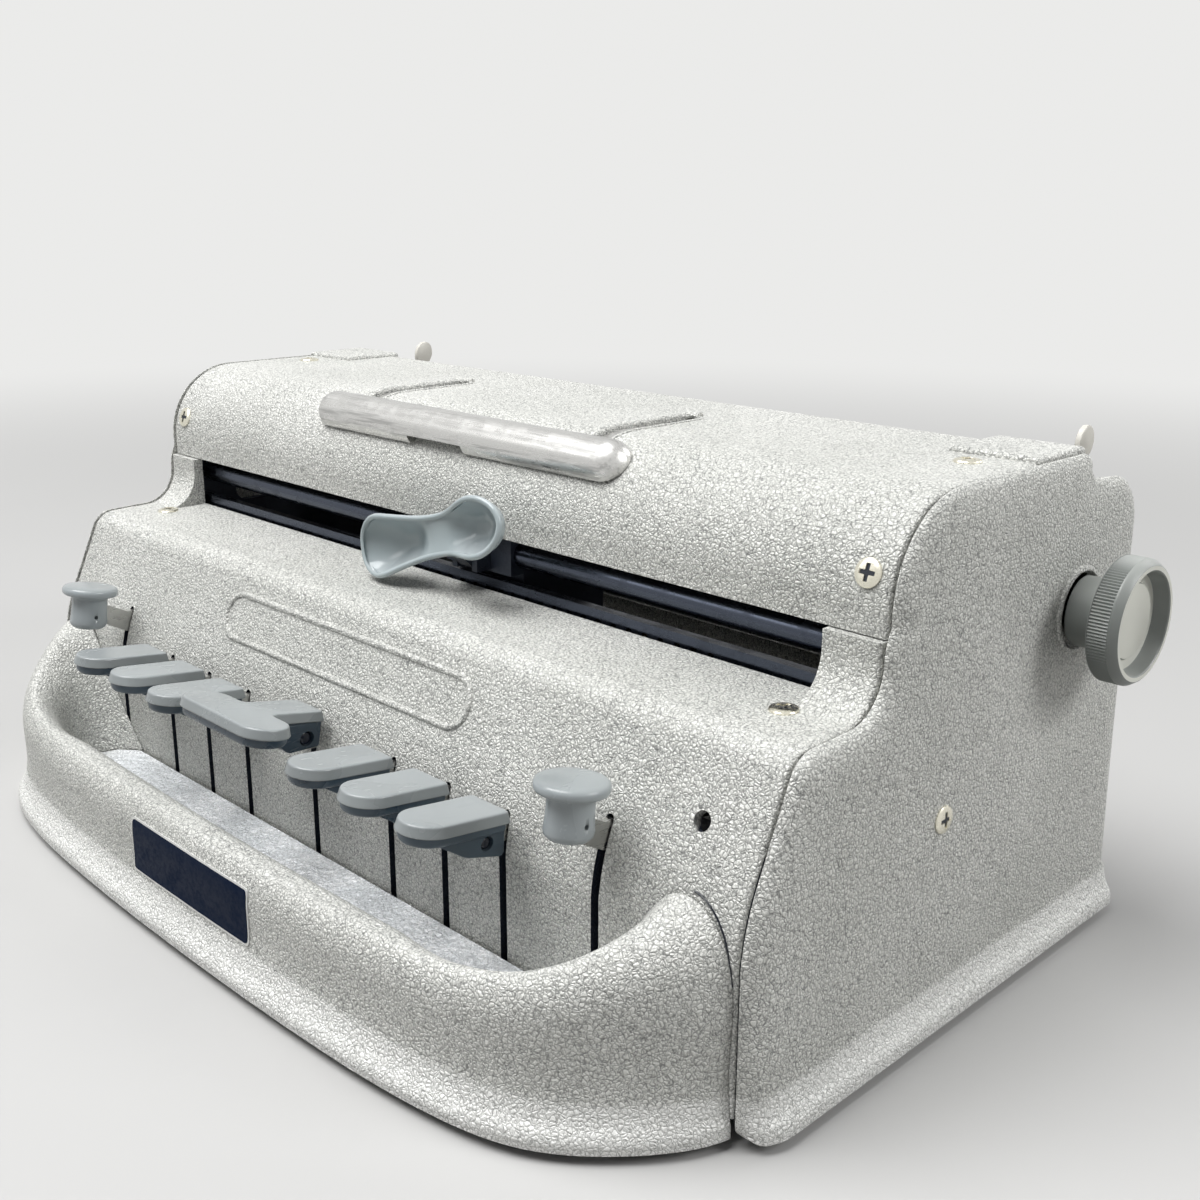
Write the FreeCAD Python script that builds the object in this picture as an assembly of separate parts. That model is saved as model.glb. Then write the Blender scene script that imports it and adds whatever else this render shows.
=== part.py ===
import FreeCAD, Part
import math
import os

# Manual braille writer: a six-key embossing machine with a space bar, a line key and a
# backspace key, a sliding embossing carriage, a paper drum with two knobs and a lifting handle.
#
# Drawing frame, in millimetres: X runs to the right of somebody who faces the keys, Y runs
# from the foot of the key panel (y = 0) to the rear, Z runs up from the lower edge of the
# casing (z = 0). place() moves every piece to the object's own frame, whose origin lies on
# the table under the middle of the machine.

V = FreeCAD.Vector

# ---------------------------------------------------------------- driving dimensions
KEY_PITCH = 25.4            # finger keys are one inch apart
SEAM_X = 174.2              # joint between the front casings and the side panels
SEAM_GAP = 0.5              # half of the dark gap at that joint
FRONT_Y = -51.8             # foremost point of the apron's foot
REAR_Y = 179.2              # rear edge of the side panels' feet
FOOT_X = 183.8              # outer edge of the side panels' feet
TOP_Z = 148.2               # flat top of the cover
PAD_LIFT = 1.6              # height of the pads at the cover's rear corners
EDGE_R = 1.4                # rounding of the castings' edges at the seams
WALL = 3.0                  # cast wall
FOOT_DROP = 3.0             # rubber feet lift the casing this far off the table

FLOOR_Z = 14.2              # trough floor where it meets the key panel
SHELF_Z = 94.3              # shelf in front of the carriage window
WINDOW_HALF = 156.0         # half width of the carriage window
WINDOW_TOP = 113.6          # lower edge of the top cover
ACCESS_HOLE = V(154.4, 8.7, 73.9)
ACCESS_HOLE_R = 2.65

KEY_PIVOT = (62.0, 46.0)    # key shaft (y, z)
KEY_SHAFT_R = 4.0
KEY_BORE_R = 4.05
LEVER_T = 2.0               # lever plate
SLOT_HALF = 1.4             # half width of a key slot
SLOT_TOP = 57.9             # top of a finger key's slot
SPACE_SLOT_TOP = 60.0
OUTER_SLOT_TOP = 67.5
OUTER_KEY_X = 126.7         # line key and backspace key
FINGER_X = (40.2, 40.2 + KEY_PITCH, 40.2 + 2 * KEY_PITCH)

RAIL_R = 4.0
FRONT_RAIL = (62.0, 107.0)  # carriage rail seen in the window (y, z)
REAR_RAIL = (104.0, 70.0)
CARRIAGE_X = 15.0           # where the carriage stands at rest
PIN_Y = 82.0                # middle of the embossing cell

DRUM_AXIS = (143.9, 103.5)  # knob and drum axis (y, z)
DRUM_R = 17.0
RELEASE_AXIS = (163.0, 117.0)
CRADLE_AXIS = (160.0, 66.0)
HANDLE_AXIS = (104.0, 137.0)
HANDLE_ARM_X = 57.5
SLOT_END_Y = 114.0          # rear end of the handle arms' slots in the cover

MARGIN_Y = (165.5, 169.5)   # margin rail
MARGIN_Z = (36.0, 46.0)
FEED_AXIS = (DRUM_AXIS[0], DRUM_AXIS[1] - DRUM_R - 6.3)

PAD_REAR = -3.0             # rear edge of the finger pads
PAD_FRONT = -33.4
PAD_Z = 61.8                # pad top at its rear edge
PAD_TILT = 7.5              # degrees
ROUND_SPOT = (-9.7, 80.0)   # round key (y, top z)
BAIL_T = 1.5
BAIL_PITCH = 3.2
BAIL_Z = (43.0, 49.0)
BAIL_END = 143.0            # inner face of the foremost bail's end arms
BAIL_END_STEP = 3.0
BAIL_ARM_T = 1.6
TAIL_Z = 35.5               # middle of the levers' rear arms
TAIL_R = 3.0                # half height of the rear arms
HUB_R = 6.4
ALL_KEY_X = (-OUTER_KEY_X,) + tuple(-x for x in FINGER_X) + (0.0,) + FINGER_X + (OUTER_KEY_X,)
# braille dot number: (x of its key, place of its bail from the front)
DOT_KEYS = {
    1: (-FINGER_X[0], 0),
    2: (-FINGER_X[1], 2),
    3: (-FINGER_X[2], 4),
    4: (FINGER_X[0], 1),
    5: (FINGER_X[1], 3),
    6: (FINGER_X[2], 5),
}

# right half of the grip: (place along it, half width, rim above centre line, centre line)
GRIP_SHAPE = ((0.0, 6.9, 1.5, 0.0), (9.0, 7.9, 3.1, 0.0), (18.0, 10.0, 5.8, 0.0),
              (24.0, 10.1, 6.1, 0.4), (29.0, 8.6, 3.6, 2.4), (33.2, 5.8, 1.1, 4.2),
              (35.4, 3.2, 0.3, 4.8))
GRIP_T = 2.6
GRIP_ROLL = 16.7            # degrees
GRIP_TILT = 85.0            # degrees
GRIP_SPOT = (41.0, 114.0)
LEVER_HINGE = (53.6, 104.0)

SPRING_SPOT = (-134.0, 28.0)
BELL_SPOT = (105.0, 130.0)
CLAPPER_SPOT = (140.0, 130.0)
FOOT_SPOTS = ((-132.0, -18.0), (132.0, -18.0), (-150.0, 155.0), (150.0, 155.0))

FRAME_X = 164.0             # inner face of the side frames
FRAME_T = 3.0

MID_Y = (FRONT_Y + REAR_Y) / 2.0


# ---------------------------------------------------------------- helpers
def place(shape):
    """Move a shape from the drawing frame to the object's own frame."""
    moved = shape.copy()
    moved.translate(V(0, -MID_Y, FOOT_DROP))
    return moved


def save(name, *shapes):
    """Write one node: a single solid, or a group of separate solids."""
    solids = [s for shape in shapes for s in shape.Solids]
    node = solids[0] if len(solids) == 1 else Part.makeCompound(solids)
    place(node).exportStep("parts/%s.step" % name)


def box(x0, x1, y0, y1, z0, z1):
    return Part.makeBox(x1 - x0, y1 - y0, z1 - z0, V(x0, y0, z0))


def rod(x0, x1, axis, radius):
    """Cylinder along X about axis (y, z)."""
    return Part.makeCylinder(radius, x1 - x0, V(x0, axis[0], axis[1]), V(1, 0, 0))


def tube(x0, x1, axis, outer, inner):
    return rod(x0, x1, axis, outer).cut(rod(x0 - 1, x1 + 1, axis, inner))


def post(x, y, z0, z1, radius):
    return Part.makeCylinder(radius, z1 - z0, V(x, y, z0))


def mirrored(shape):
    return shape.mirror(V(0, 0, 0), V(1, 0, 0))


def path(start, *steps):
    """Wire in the plane x = 0 through (y, z) points; a step of two points is an arc."""
    edges = []
    here = V(0, *start)
    for step in steps:
        if isinstance(step[0], tuple):
            middle = V(0, *step[0])
            end = V(0, *step[1])
            edges.append(Part.Arc(here, middle, end).toShape())
        else:
            end = V(0, *step)
            edges.append(Part.makeLine(here, end))
        here = end
    return Part.Wire(edges)


def slab(x0, x1, *outline):
    """Plate with a closed (y, z) outline, from x0 to x1."""
    wire = path(*outline)
    if not wire.isClosed():
        first = wire.OrderedVertexes[0].Point
        last = wire.OrderedVertexes[-1].Point
        wire = Part.Wire(wire.Edges + [Part.makeLine(last, first)])
    solid = Part.Face(wire).extrude(V(x1 - x0, 0, 0))
    solid.translate(V(x0, 0, 0))
    return solid


def fuse(first, *others):
    shape = first
    if others:
        shape = first.multiFuse(list(others))
    return shape.removeSplitter()


def strap(x0, x1, radius, *points):
    """Flat link from x0 to x1 whose outline follows points with round ends."""
    pieces = [rod(x0, x1, p, radius) for p in points]
    for a, b in zip(points, points[1:]):
        dy, dz = b[0] - a[0], b[1] - a[1]
        length = math.hypot(dy, dz)
        ny, nz = -dz / length * radius, dy / length * radius
        corners = [(a[0] + ny, a[1] + nz), (b[0] + ny, b[1] + nz)]
        corners += [(b[0] - ny, b[1] - nz), (a[0] - ny, a[1] - nz)]
        pieces.append(slab(x0, x1, *corners))
    return fuse(*pieces)


def ridge(y0, y1, *outline):
    """Prism along Y with a closed (x, z) outline; a step of two points is an arc."""
    turned = slab(y0, y1, *outline)
    turned.rotate(V(0, 0, 0), V(0, 0, 1), 90)
    return turned.mirror(V(0, 0, 0), V(1, 0, 0))


def plan(z0, z1, *outline):
    """Prism along Z with a closed (x, y) outline; a step of two points is an arc."""
    turned = slab(z0, z1, *outline)
    turned.rotate(V(0, 0, 0), V(1, 1, 1), -120)
    return turned


class Screw:
    """Pan-head screw that seats at a point on a wall, its head along the normal."""

    HEAD_R = 3.7
    HEAD_T = 1.7
    SHANK_R = 1.6

    def __init__(self, point, normal, length=8.0):
        self.point = V(*point)
        self.normal = V(*normal)
        self.normal.normalize()
        self.length = length

    def solid(self):
        head = Part.makeCylinder(self.HEAD_R, self.HEAD_T, self.point, self.normal)
        top_edges = [e for e in head.Edges if e.Closed]
        crown = max(top_edges, key=lambda e: e.CenterOfMass.dot(self.normal))
        head = head.makeFillet(0.9, [crown])
        shank = Part.makeCylinder(self.SHANK_R, self.length, self.point, self.normal * -1)
        return head.fuse(shank)

    def hole(self):
        """Clearance hole with a spot face that seats the head."""
        start = self.point + self.normal * 2
        bore = Part.makeCylinder(self.SHANK_R + 0.1, self.length + 3, start, self.normal * -1)
        return bore.fuse(Part.makeCylinder(self.HEAD_R + 0.5, 6, self.point, self.normal))


def drilled(shape, screws):
    for screw in screws:
        shape = shape.cut(screw.hole())
    return shape


# ---------------------------------------------------------------- screws of the casing
SHELF_SCREWS = [Screw((x, 38.0, SHELF_Z + 0.33), (0, -0.7, 32.0)) for x in (-155.0, 155.0)]
COVER_SCREWS = [Screw((x, 54.72, 129.02), (0, -0.952, 0.305), 4.0) for x in (-166.3, 166.3)]
COVER_TOP_SCREWS = [Screw((x, 110.0, TOP_Z), (0, 0, 1)) for x in (-158.6, 158.6)]
SIDE_SCREWS = [Screw((side * 179.23, 76.6, 60.3), (side, 0, 0.021), 6.0) for side in (-1, 1)]
BASE_SCREWS = [Screw((x, y, 1.5), (0, 0, -1)) for x in (-157.0, 157.0) for y in (34.0, 87.0, 140.0)]


# ---------------------------------------------------------------- casing
def thickened(wire, x0, x1, thickness=WALL):
    """Cast wall of constant thickness behind an open (y, z) path."""
    face = wire.makeOffset2D(thickness, fill=True, openResult=True)
    solid = face.extrude(V(x1 - x0, 0, 0))
    solid.translate(V(x0, 0, 0))
    return solid


def key_slot(x, top):
    """Key slot, round at the top, that runs down behind the trough floor."""
    cut = box(x - SLOT_HALF, x + SLOT_HALF, -5, 14, 9, top - SLOT_HALF)
    crown = Part.makeCylinder(SLOT_HALF, 19, V(x, -5, top - SLOT_HALF), V(0, 1, 0))
    return cut.fuse(crown)


def round_ends(shape, *skins):
    """Round the edges that the outer skins of an extruded wall leave at its two ends."""
    end = SEAM_X - SEAM_GAP
    rim = []
    for edge in shape.Edges:
        span = edge.BoundBox
        if span.XLength > 0.01 or abs(abs(span.XMin) - end) > 0.01 or edge.Length < 0.1:
            continue
        middle = edge.valueAt((edge.FirstParameter + edge.LastParameter) / 2.0)
        spot = Part.Vertex(0, middle.y, middle.z)
        if min(spot.distToShape(skin)[0] for skin in skins) < 0.02:
            rim.append(edge)
    return shape.makeFillet(EDGE_R, rim)


def cartouche():
    """Bare raised border, 131 by 16 mm with round ends, on the slanting face."""
    half, radius, rim = 57.5, 8.0, 1.2

    def stadium(r):
        bar = Part.makeBox(2 * half, 2 * r, 0.9, V(-half, -r, -0.3))
        ends = [Part.makeCylinder(r, 0.9, V(x, 0, -0.3)) for x in (-half, half)]
        return bar.multiFuse(ends)

    ring = stadium(radius).cut(stadium(radius - rim))
    lean = math.degrees(math.atan2(22.2, 10.0))
    ring.rotate(V(0, 0, 0), V(1, 0, 0), lean)
    ring.translate(V(0, 10.6, 78.0))
    return ring


def build_front_panel():
    """Key panel, shelf and the two pillars beside the carriage window."""
    end = SEAM_X - SEAM_GAP
    face = path((0, 5), (0, 46), ((1.6, 55.5), (5.2, 66.0)), (15.2, 88.2),
                ((18.0, 92.3), (23.0, SHELF_Z)), (55.0, 95.0))
    wall = thickened(face, -end, end)
    front = path((36.0, 92.0), (36.0, 94.57), ((47.4, 98.6), (51.2, 108.0)), (51.2, 113.2),
                 (55.0, 113.2), (55.0, 92.0))
    rise = Part.Face(Part.Wire(front.Edges + [Part.makeLine(V(0, 55, 92), V(0, 36, 92))]))
    pillars = []
    for x0, x1 in ((-end, -WINDOW_HALF), (WINDOW_HALF, end)):
        pillar = rise.extrude(V(x1 - x0, 0, 0))
        pillar.translate(V(x0, 0, 0))
        pillars.append(pillar)
    shape = round_ends(fuse(wall, *pillars), face, Part.Wire(front.Edges[1:2]))
    shape = fuse(shape, cartouche())
    for x, _ in DOT_KEYS.values():
        shape = shape.cut(key_slot(x, SLOT_TOP))
    shape = shape.cut(key_slot(0, SPACE_SLOT_TOP))
    for x in (-OUTER_KEY_X, OUTER_KEY_X):
        shape = shape.cut(key_slot(x, OUTER_SLOT_TOP))
    normal = V(0, -22.2, 10.0)
    normal.normalize()
    bore = Part.makeCylinder(ACCESS_HOLE_R, 14, ACCESS_HOLE + normal * 5, normal * -1)
    return drilled(shape.cut(bore), SHELF_SCREWS)


APRON_STATIONS = (
    # outer foot (x, y), inner foot (x, y), share of the horn's shape
    ((0.0, FRONT_Y), (0.0, -31.0), 0.0),
    ((72.0, -50.3), (71.0, -30.0), 0.0),
    ((116.0, -46.1), (108.0, -27.5), 0.04),
    ((144.0, -37.1), (127.0, -21.0), 0.26),
    ((160.5, -23.0), (131.0, -12.5), 0.56),
    ((170.0, -10.0), (126.0, -5.0), 0.84),
    ((SEAM_X - SEAM_GAP, -0.3), (117.0, -0.3), 1.0),
)
# (share of the way in, height): flared foot, wall, rolled lip and inner wall
LIP_SHAPE = ((0.0, 2.8), (0.04, 4.4), (0.115, 6.4), (0.18, 9.2), (0.228, 13.0), (0.25, 26.0),
             (0.327, 33.0), (0.471, 36.0), (0.663, 34.3), (0.832, 29.5), (0.923, 20.0))
HORN_SHAPE = ((0.0, 2.8), (0.004, 4.4), (0.012, 6.4), (0.018, 9.2), (0.023, 13.0), (0.026, 43.0),
              (0.12, 54.5), (0.305, 58.8), (0.44, 53.5), (0.6, 41.0), (0.79, 27.5))


def floor_height(y):
    """Trough floor, which rises gently towards the key panel."""
    return FLOOR_Z + 0.16 * y


def apron_section(outer, inner, horn, inset):
    """Closed section through the apron's lip; inset gives the hollow underneath."""
    ox, oy = outer
    ix, iy = inner
    length = math.hypot(ix - ox, iy - oy)
    ux, uy = (ix - ox) / length, (iy - oy) / length
    points = [(0.0, 1.0)]
    for lip, peak in zip(LIP_SHAPE, HORN_SHAPE):
        along = lip[0] * (1 - horn) + peak[0] * horn
        height = lip[1] * (1 - horn) + peak[1] * horn
        points.append((along * length, height))
    points.append((length, floor_height(iy)))
    if inset:
        points = shrink(points, inset)
        points[-1] = (length + 2.0, floor_height(iy) - WALL)
    base = -1.0 if inset else 0.0
    spots = [V(ox + ux * t, oy + uy * t, z) for t, z in points]
    first = V(spots[0].x, spots[0].y, base)
    last = V(spots[-1].x, spots[-1].y, base)
    curve = Part.BSplineCurve()
    curve.interpolate(spots)
    edges = [Part.makeLine(first, spots[0]), curve.toShape(), Part.makeLine(spots[-1], last),
             Part.makeLine(last, first)]
    return Part.Wire(edges)


def shrink(points, inset):
    """Move the points of a section inwards along the normals of their neighbours' chord."""
    moved = []
    for i, (t, z) in enumerate(points):
        before = points[max(i - 1, 0)]
        after = points[min(i + 1, len(points) - 1)]
        dt, dz = after[0] - before[0], after[1] - before[1]
        size = math.hypot(dt, dz)
        moved.append((t + dz / size * inset, z - dt / size * inset))
    return moved


def apron_loft(inset):
    right = [apron_section(o, i, h, inset) for o, i, h in APRON_STATIONS]
    left = []
    for (ox, oy), (ix, iy), h in APRON_STATIONS[:0:-1]:
        left.append(apron_section((-ox, oy), (-ix, iy), h, inset))
    return Part.makeLoft(left + right, True, False)


def build_front_apron():
    """Curved apron with a rolled lip, a finger trough and a horn at each end."""
    lip = apron_loft(0.0).cut(apron_loft(2.6))
    edge = [(ix, iy - 0.8) for (ox, oy), (ix, iy), h in APRON_STATIONS]
    outline = [(-x, y) for x, y in edge[:0:-1]] + edge
    floor = plan(-2, 30, *outline)
    slope = slab(-150, 150, (-45, floor_height(-45)), (-0.3, FLOOR_Z), (-0.3, FLOOR_Z - 3),
                 (-45, floor_height(-45) - 3))
    return fuse(lip, floor.common(slope))


def side_outline():
    """Closed outline of a side panel: seam profile, cover curve, rear step and rear edge."""
    return ((0, 0), (0, 46), ((1.6, 55.5), (5.2, 66.0)), (15.2, 88.2),
            ((18.0, 92.3), (23.0, SHELF_Z)), (37.0, 94.6), ((47.4, 98.6), (51.2, 108.0)),
            (51.4, 112.0), (53.4, 115.0), (53.4, 120.6), ((61.48, 140.12), (81.0, TOP_Z)), (146.0, TOP_Z),
            (150.5, 140.5), (163.5, 139.2), ((174.2, 134.6), (178.6, 124.0)), (179.0, 0))


def side_wedge(shift):
    """Slightly leaning outer face of a side panel, as a block."""
    return ridge(-5, 185, (150, -5), (180.6 - shift, -5), (177.3 - shift, 152), (150, 152))


def build_side_panel():
    """Right-hand side panel: a shallow cast shell with a foot flange and a knob ring."""
    inner = SEAM_X + SEAM_GAP
    outline = side_outline()
    block = slab(inner, 185, *outline).common(side_wedge(0))
    rim = [e for e in block.Edges if e.BoundBox.XMin > inner + 1.5]
    rim = [e for e in rim if e.BoundBox.ZMax > 1.0]
    block = block.makeFillet(2.4, rim)
    flange = ridge(0, REAR_Y, (inner, 0), (FOOT_X, 0), (FOOT_X, 2.4), ((183.4, 4.0), (182.3, 5.4)),
                   ((180.9, 8.6), (180.2, 13.0)), (inner, 13.0))
    foot = plan(-1, 15, (inner, 0), ((180.8, 3.4), (FOOT_X, 12)), (FOOT_X, 174.5),
                ((182.4, 177.9), (179.0, REAR_Y)), (inner, REAR_Y))
    ring = tube(176.6, 180.0, DRUM_AXIS, 12.7, 7.0)
    shell = fuse(block, flange.common(foot), ring)
    wire = path(*outline)
    closing = Part.makeLine(V(0, 179.0, 0), V(0, 0, 0))
    hollow_wire = Part.Wire(wire.Edges + [closing]).makeOffset2D(-3.0)
    hollow = Part.Face(hollow_wire).extrude(V(20, 0, 0))
    hollow.translate(V(inner - 10, 0, 0))
    hollow = hollow.fuse(box(inner - 10, 190, 3.0, 176.0, -1, 20))
    hollow = hollow.common(side_wedge(3.0))
    shell = shell.cut(hollow)
    return drilled(shell.cut(rod(150, 190, DRUM_AXIS, 7.0)), SIDE_SCREWS[1:])


def build_top_cover():
    """Cover shell with pads at its rear ends and two slots for the handle arms."""
    end = SEAM_X - SEAM_GAP
    skin = path((53.4, WINDOW_TOP), (53.4, 120.6), ((61.48, 140.12), (81.0, TOP_Z)), (144.0, TOP_Z),
                ((146.3, 147.2), (147.2, 145.0)), (147.2, 137.0))
    shape = round_ends(thickened(skin, -end, end), Part.Wire(skin.Edges[:3]))
    pads = []
    for x0, x1 in ((-end, -146.0), (146.0, end)):
        pad = box(x0, x1, 121.0, 147.2, TOP_Z - 1, TOP_Z + PAD_LIFT)
        tops = [e for e in pad.Edges if e.BoundBox.ZMin > TOP_Z + PAD_LIFT - 0.1]
        pads.append(pad.makeFillet(PAD_LIFT - 0.2, tops))
    shape = fuse(shape, *pads)
    for side in (-1, 1):
        x = side * HANDLE_ARM_X
        shape = shape.cut(box(x - 3, x + 3, 60.0, SLOT_END_Y, 128, 152))
        for lug in (x - 6.5, x + 4.0):
            ear = box(lug, lug + 2.5, HANDLE_AXIS[0] - 7, HANDLE_AXIS[0] + 7, 132, TOP_Z - 2.5)
            shape = shape.fuse(ear.cut(rod(lug - 1, lug + 4, HANDLE_AXIS, 2.05)))
    shape = shape.removeSplitter()
    return drilled(shape, COVER_SCREWS + COVER_TOP_SCREWS)


def build_rear_panel():
    """Rear wall with a flared foot and the long slot of the margin stops."""
    end = SEAM_X - SEAM_GAP
    skin = path((REAR_Y, 0), (REAR_Y, 2.4), ((178.7, 4.2), (177.6, 5.8)), ((176.4, 9.0), (176.0, 13.0)),
                (176.0, 106.0), ((174.8, 110.6), (171.0, 112.0)))
    face = skin.makeOffset2D(-WALL, fill=True, openResult=True)
    if face.BoundBox.YMax > REAR_Y + 0.5:
        face = skin.makeOffset2D(WALL, fill=True, openResult=True)
    shape = face.extrude(V(2 * end, 0, 0))
    shape.translate(V(-end, 0, 0))
    return shape.cut(box(-142, 142, 165, 185, MARGIN_Z[0] - 1.5, MARGIN_Z[1] + 1.5))


def build_paper_table():
    """Curved sheet that guides the paper down to the drum."""
    guide = path((170.0, 113.0), (165.8, 103.5), ((163.0, 96.5), (159.5, 90.0)))
    return thickened(guide, -158.0, 158.0, 1.2)


# ---------------------------------------------------------------- base and frame
def build_base_plate():
    """Sheet-steel bottom that follows the inside of the apron."""
    right = [(171, 172), (171, 4), (168, 2), ((156.0, -19.5), (128, -38.0)),
             ((66.0, -44.6), (0, -45.6))]
    left = [((-66.0, -44.6), (-128, -38.0)), ((-156.0, -19.5), (-168, 2)), (-171, 4), (-171, 172)]
    sheet = drilled(plan(1.5, 3.5, *(right + left)), BASE_SCREWS)
    return fuse(sheet, spring_bracket(), clapper_stud())


def build_rubber_feet():
    feet = []
    for x, y in FOOT_SPOTS:
        cone = Part.makeCone(7.5, 9.0, 1.5 + FOOT_DROP, V(x, y, -FOOT_DROP))
        feet.append(cone.makeFillet(1.0, [lowest_edge(cone)]))
    return feet


def lowest_edge(shape):
    rings = [e for e in shape.Edges if e.Closed]
    return min(rings, key=lambda e: e.CenterOfMass.z)


def build_frame():
    """Right-hand steel side frame with its foot flange and bearing bores."""
    outline = ((8, 3.5), (8, 44), (12.5, 66), (21.5, 87), (26, 88.8), (57.5, 88.8), (57.5, 112),
               ((65.4, 136.5), (81, 143)), (142, 143), (142, 133), (158, 133), (170.5, 116),
               (170.5, 3.5))
    plate = slab(FRAME_X, FRAME_X + FRAME_T, *outline)
    for window in (((20, 16), (52, 16), (52, 30), (20, 34)),
                   ((78, 14), (150, 14), (150, 52), (112, 56), (78, 34)),
                   ((74, 92), (118, 92), (118, 128), (84, 132), (74, 126))):
        hole = slab(FRAME_X - 1, FRAME_X + FRAME_T + 1, *window)
        upright = [e for e in hole.Edges if e.BoundBox.XLength > FRAME_T]
        plate = plate.cut(hole.makeFillet(5.0, upright))
    flange = box(FRAME_X - 12, FRAME_X, 24, 150, 3.5, 6.0)
    shape = fuse(plate, flange)
    shape = shape.cut(rod(150, 180, DRUM_AXIS, 5.05))
    shape = shape.cut(rod(150, 180, RELEASE_AXIS, 3.05))
    return drilled(shape.cut(rod(150, 180, CRADLE_AXIS, 3.05)), BASE_SCREWS)


def build_cross_members():
    """Tie rods between the side frames, and the upper and lower stop bars of the key levers."""
    rods = [rod(-FRAME_X, FRAME_X, spot, 4.0) for spot in ((30, 78), (30, 14), (156, 20), (128, 137))]
    stops = [box(-FRAME_X, FRAME_X, 24.0, 32.0, z, z + 4.0) for z in (56.6, 33.0)]
    return rods + stops


def build_carriage_rails():
    return [rod(-FRAME_X, FRAME_X, spot, RAIL_R) for spot in (FRONT_RAIL, REAR_RAIL)]


def build_escapement_rack():
    """Toothed bar below the front rail, one tooth per braille cell."""
    bar = box(-FRAME_X, FRAME_X, 56.6, 60.0, 93.6, 98.4)
    pitch, count = 6.35, 37
    for i in range(count):
        x = (i - (count - 1) / 2.0) * pitch
        notch = ridge(56, 61, (x - 1.6, 93), (x + 1.6, 93), (x + 1.6, 95.4), (x - 0.2, 95.4))
        bar = bar.cut(notch)
    return bar


def build_key_springs():
    """Torsion springs on the key shaft, one beside each lever, as plain sleeves."""
    sleeves = []
    for x in ALL_KEY_X:
        sleeves.append(tube(x + 4.8, x + 13.8, KEY_PIVOT, 5.6, KEY_SHAFT_R))
    return sleeves


def build_margin_rail():
    return box(-FRAME_X, FRAME_X, MARGIN_Y[0], MARGIN_Y[1], *MARGIN_Z)


def build_margin_stop(x):
    """Sliding margin stop with a finger tab that shows in the rear slot."""
    block = box(x - 7, x + 7, MARGIN_Y[0] - 2.5, MARGIN_Y[1] + 2.2, MARGIN_Z[0] - 2.8, MARGIN_Z[1] + 2.8)
    channel = box(x - 8, x + 8, MARGIN_Y[0] - 0.05, MARGIN_Y[1] + 0.05, MARGIN_Z[0] - 0.05,
                  MARGIN_Z[1] + 0.05)
    tab = box(x - 4, x + 4, MARGIN_Y[1] + 2.0, REAR_Y, MARGIN_Z[0] + 1, MARGIN_Z[1] - 1)
    ends = [e for e in tab.Edges if e.BoundBox.YMin > REAR_Y - 0.1]
    return fuse(block.cut(channel), tab.makeFillet(1.2, ends))


# ---------------------------------------------------------------- keys
def pad_outline(half, rear, front):
    """Finger pad: straight at the rear, round at the front, as (x, y) steps."""
    shoulder = front + half
    return [(half, rear), (half, shoulder), ((0, front), (-half, shoulder)), (-half, rear)]


def tilted(shape, height):
    """Pads rise gently towards the typist; height is the pad's top at its rear edge."""
    shape.rotate(V(0, PAD_REAR, 0), V(1, 0, 0), -PAD_TILT)
    shape.translate(V(0, 0, height))
    return shape


def finger_cap():
    """Plastic cap of a finger key: pad, inset tier and a tapering block for the lever."""
    pad = plan(-3.2, 0, *pad_outline(8.4, PAD_REAR, PAD_FRONT))
    crown = [e for e in pad.Edges if e.BoundBox.ZMin > -0.1]
    pad = pad.makeFillet(1.0, crown)
    tier = plan(-6.0, -3.0, *pad_outline(7.2, PAD_REAR - 0.6, PAD_FRONT + 1.6))
    shape = tilted(fuse(pad, tier), PAD_Z)
    block = slab(-4.6, 4.6, (PAD_REAR - 0.4, PAD_Z - 5), (PAD_REAR - 0.4, 49.6), (-9.4, 49.6),
                 (-24.0, PAD_Z - 4.4))
    shape = fuse(shape, block)
    screw_well = Part.makeCylinder(1.9, 4, V(2.0, -7.2, 53.6), V(1, 0, 0))
    return shape.cut(screw_well).cut(lever_blade(0))


def lever_blade(x):
    """Front blade of a finger-key lever, from inside the cap to the hub."""
    return slab(x - LEVER_T / 2, x + LEVER_T / 2, (-8.0, 50.8), (-8.0, 56.6), (6.0, 56.6),
                (30.0, 56.2), (60.0, 51.0), (62.0, 40.0), (40.0, 45.0))


def space_cap():
    """Wide bar in front, a neck that runs back to the middle slot, and its block."""
    bar = plan(-3.4, 0, (17.5, -18.0), (-17.5, -18.0), ((-25.7, -26.2), (-17.5, -34.4)),
               (17.5, -34.4), ((25.7, -26.2), (17.5, -18.0)))
    neck = plan(-3.4, 0, (8.2, PAD_REAR), (7.4, -20), (-7.4, -20), (-8.2, PAD_REAR))
    pad = fuse(bar, neck)
    crown = [e for e in pad.Edges if e.BoundBox.ZMin > -0.1]
    pad = pad.makeFillet(1.0, crown)
    tier = plan(-6.2, -3.2, (17.5, -19.2), (-17.5, -19.2), ((-24.5, -26.2), (-17.5, -33.2)),
                (17.5, -33.2), ((24.5, -26.2), (17.5, -19.2)))
    shape = tilted(fuse(pad, tier), PAD_Z + 1.2)
    block = slab(-6.0, 6.0, (PAD_REAR - 0.4, PAD_Z - 1.5), (PAD_REAR - 0.4, 49.6), (-10.4, 49.6),
                 (-24.0, PAD_Z - 0.8))
    well = Part.makeCylinder(2.6, 4, V(3.4, -7.4, 55.6), V(1, 0, 0))
    return fuse(shape, block).cut(well).cut(lever_blade(0))


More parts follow.
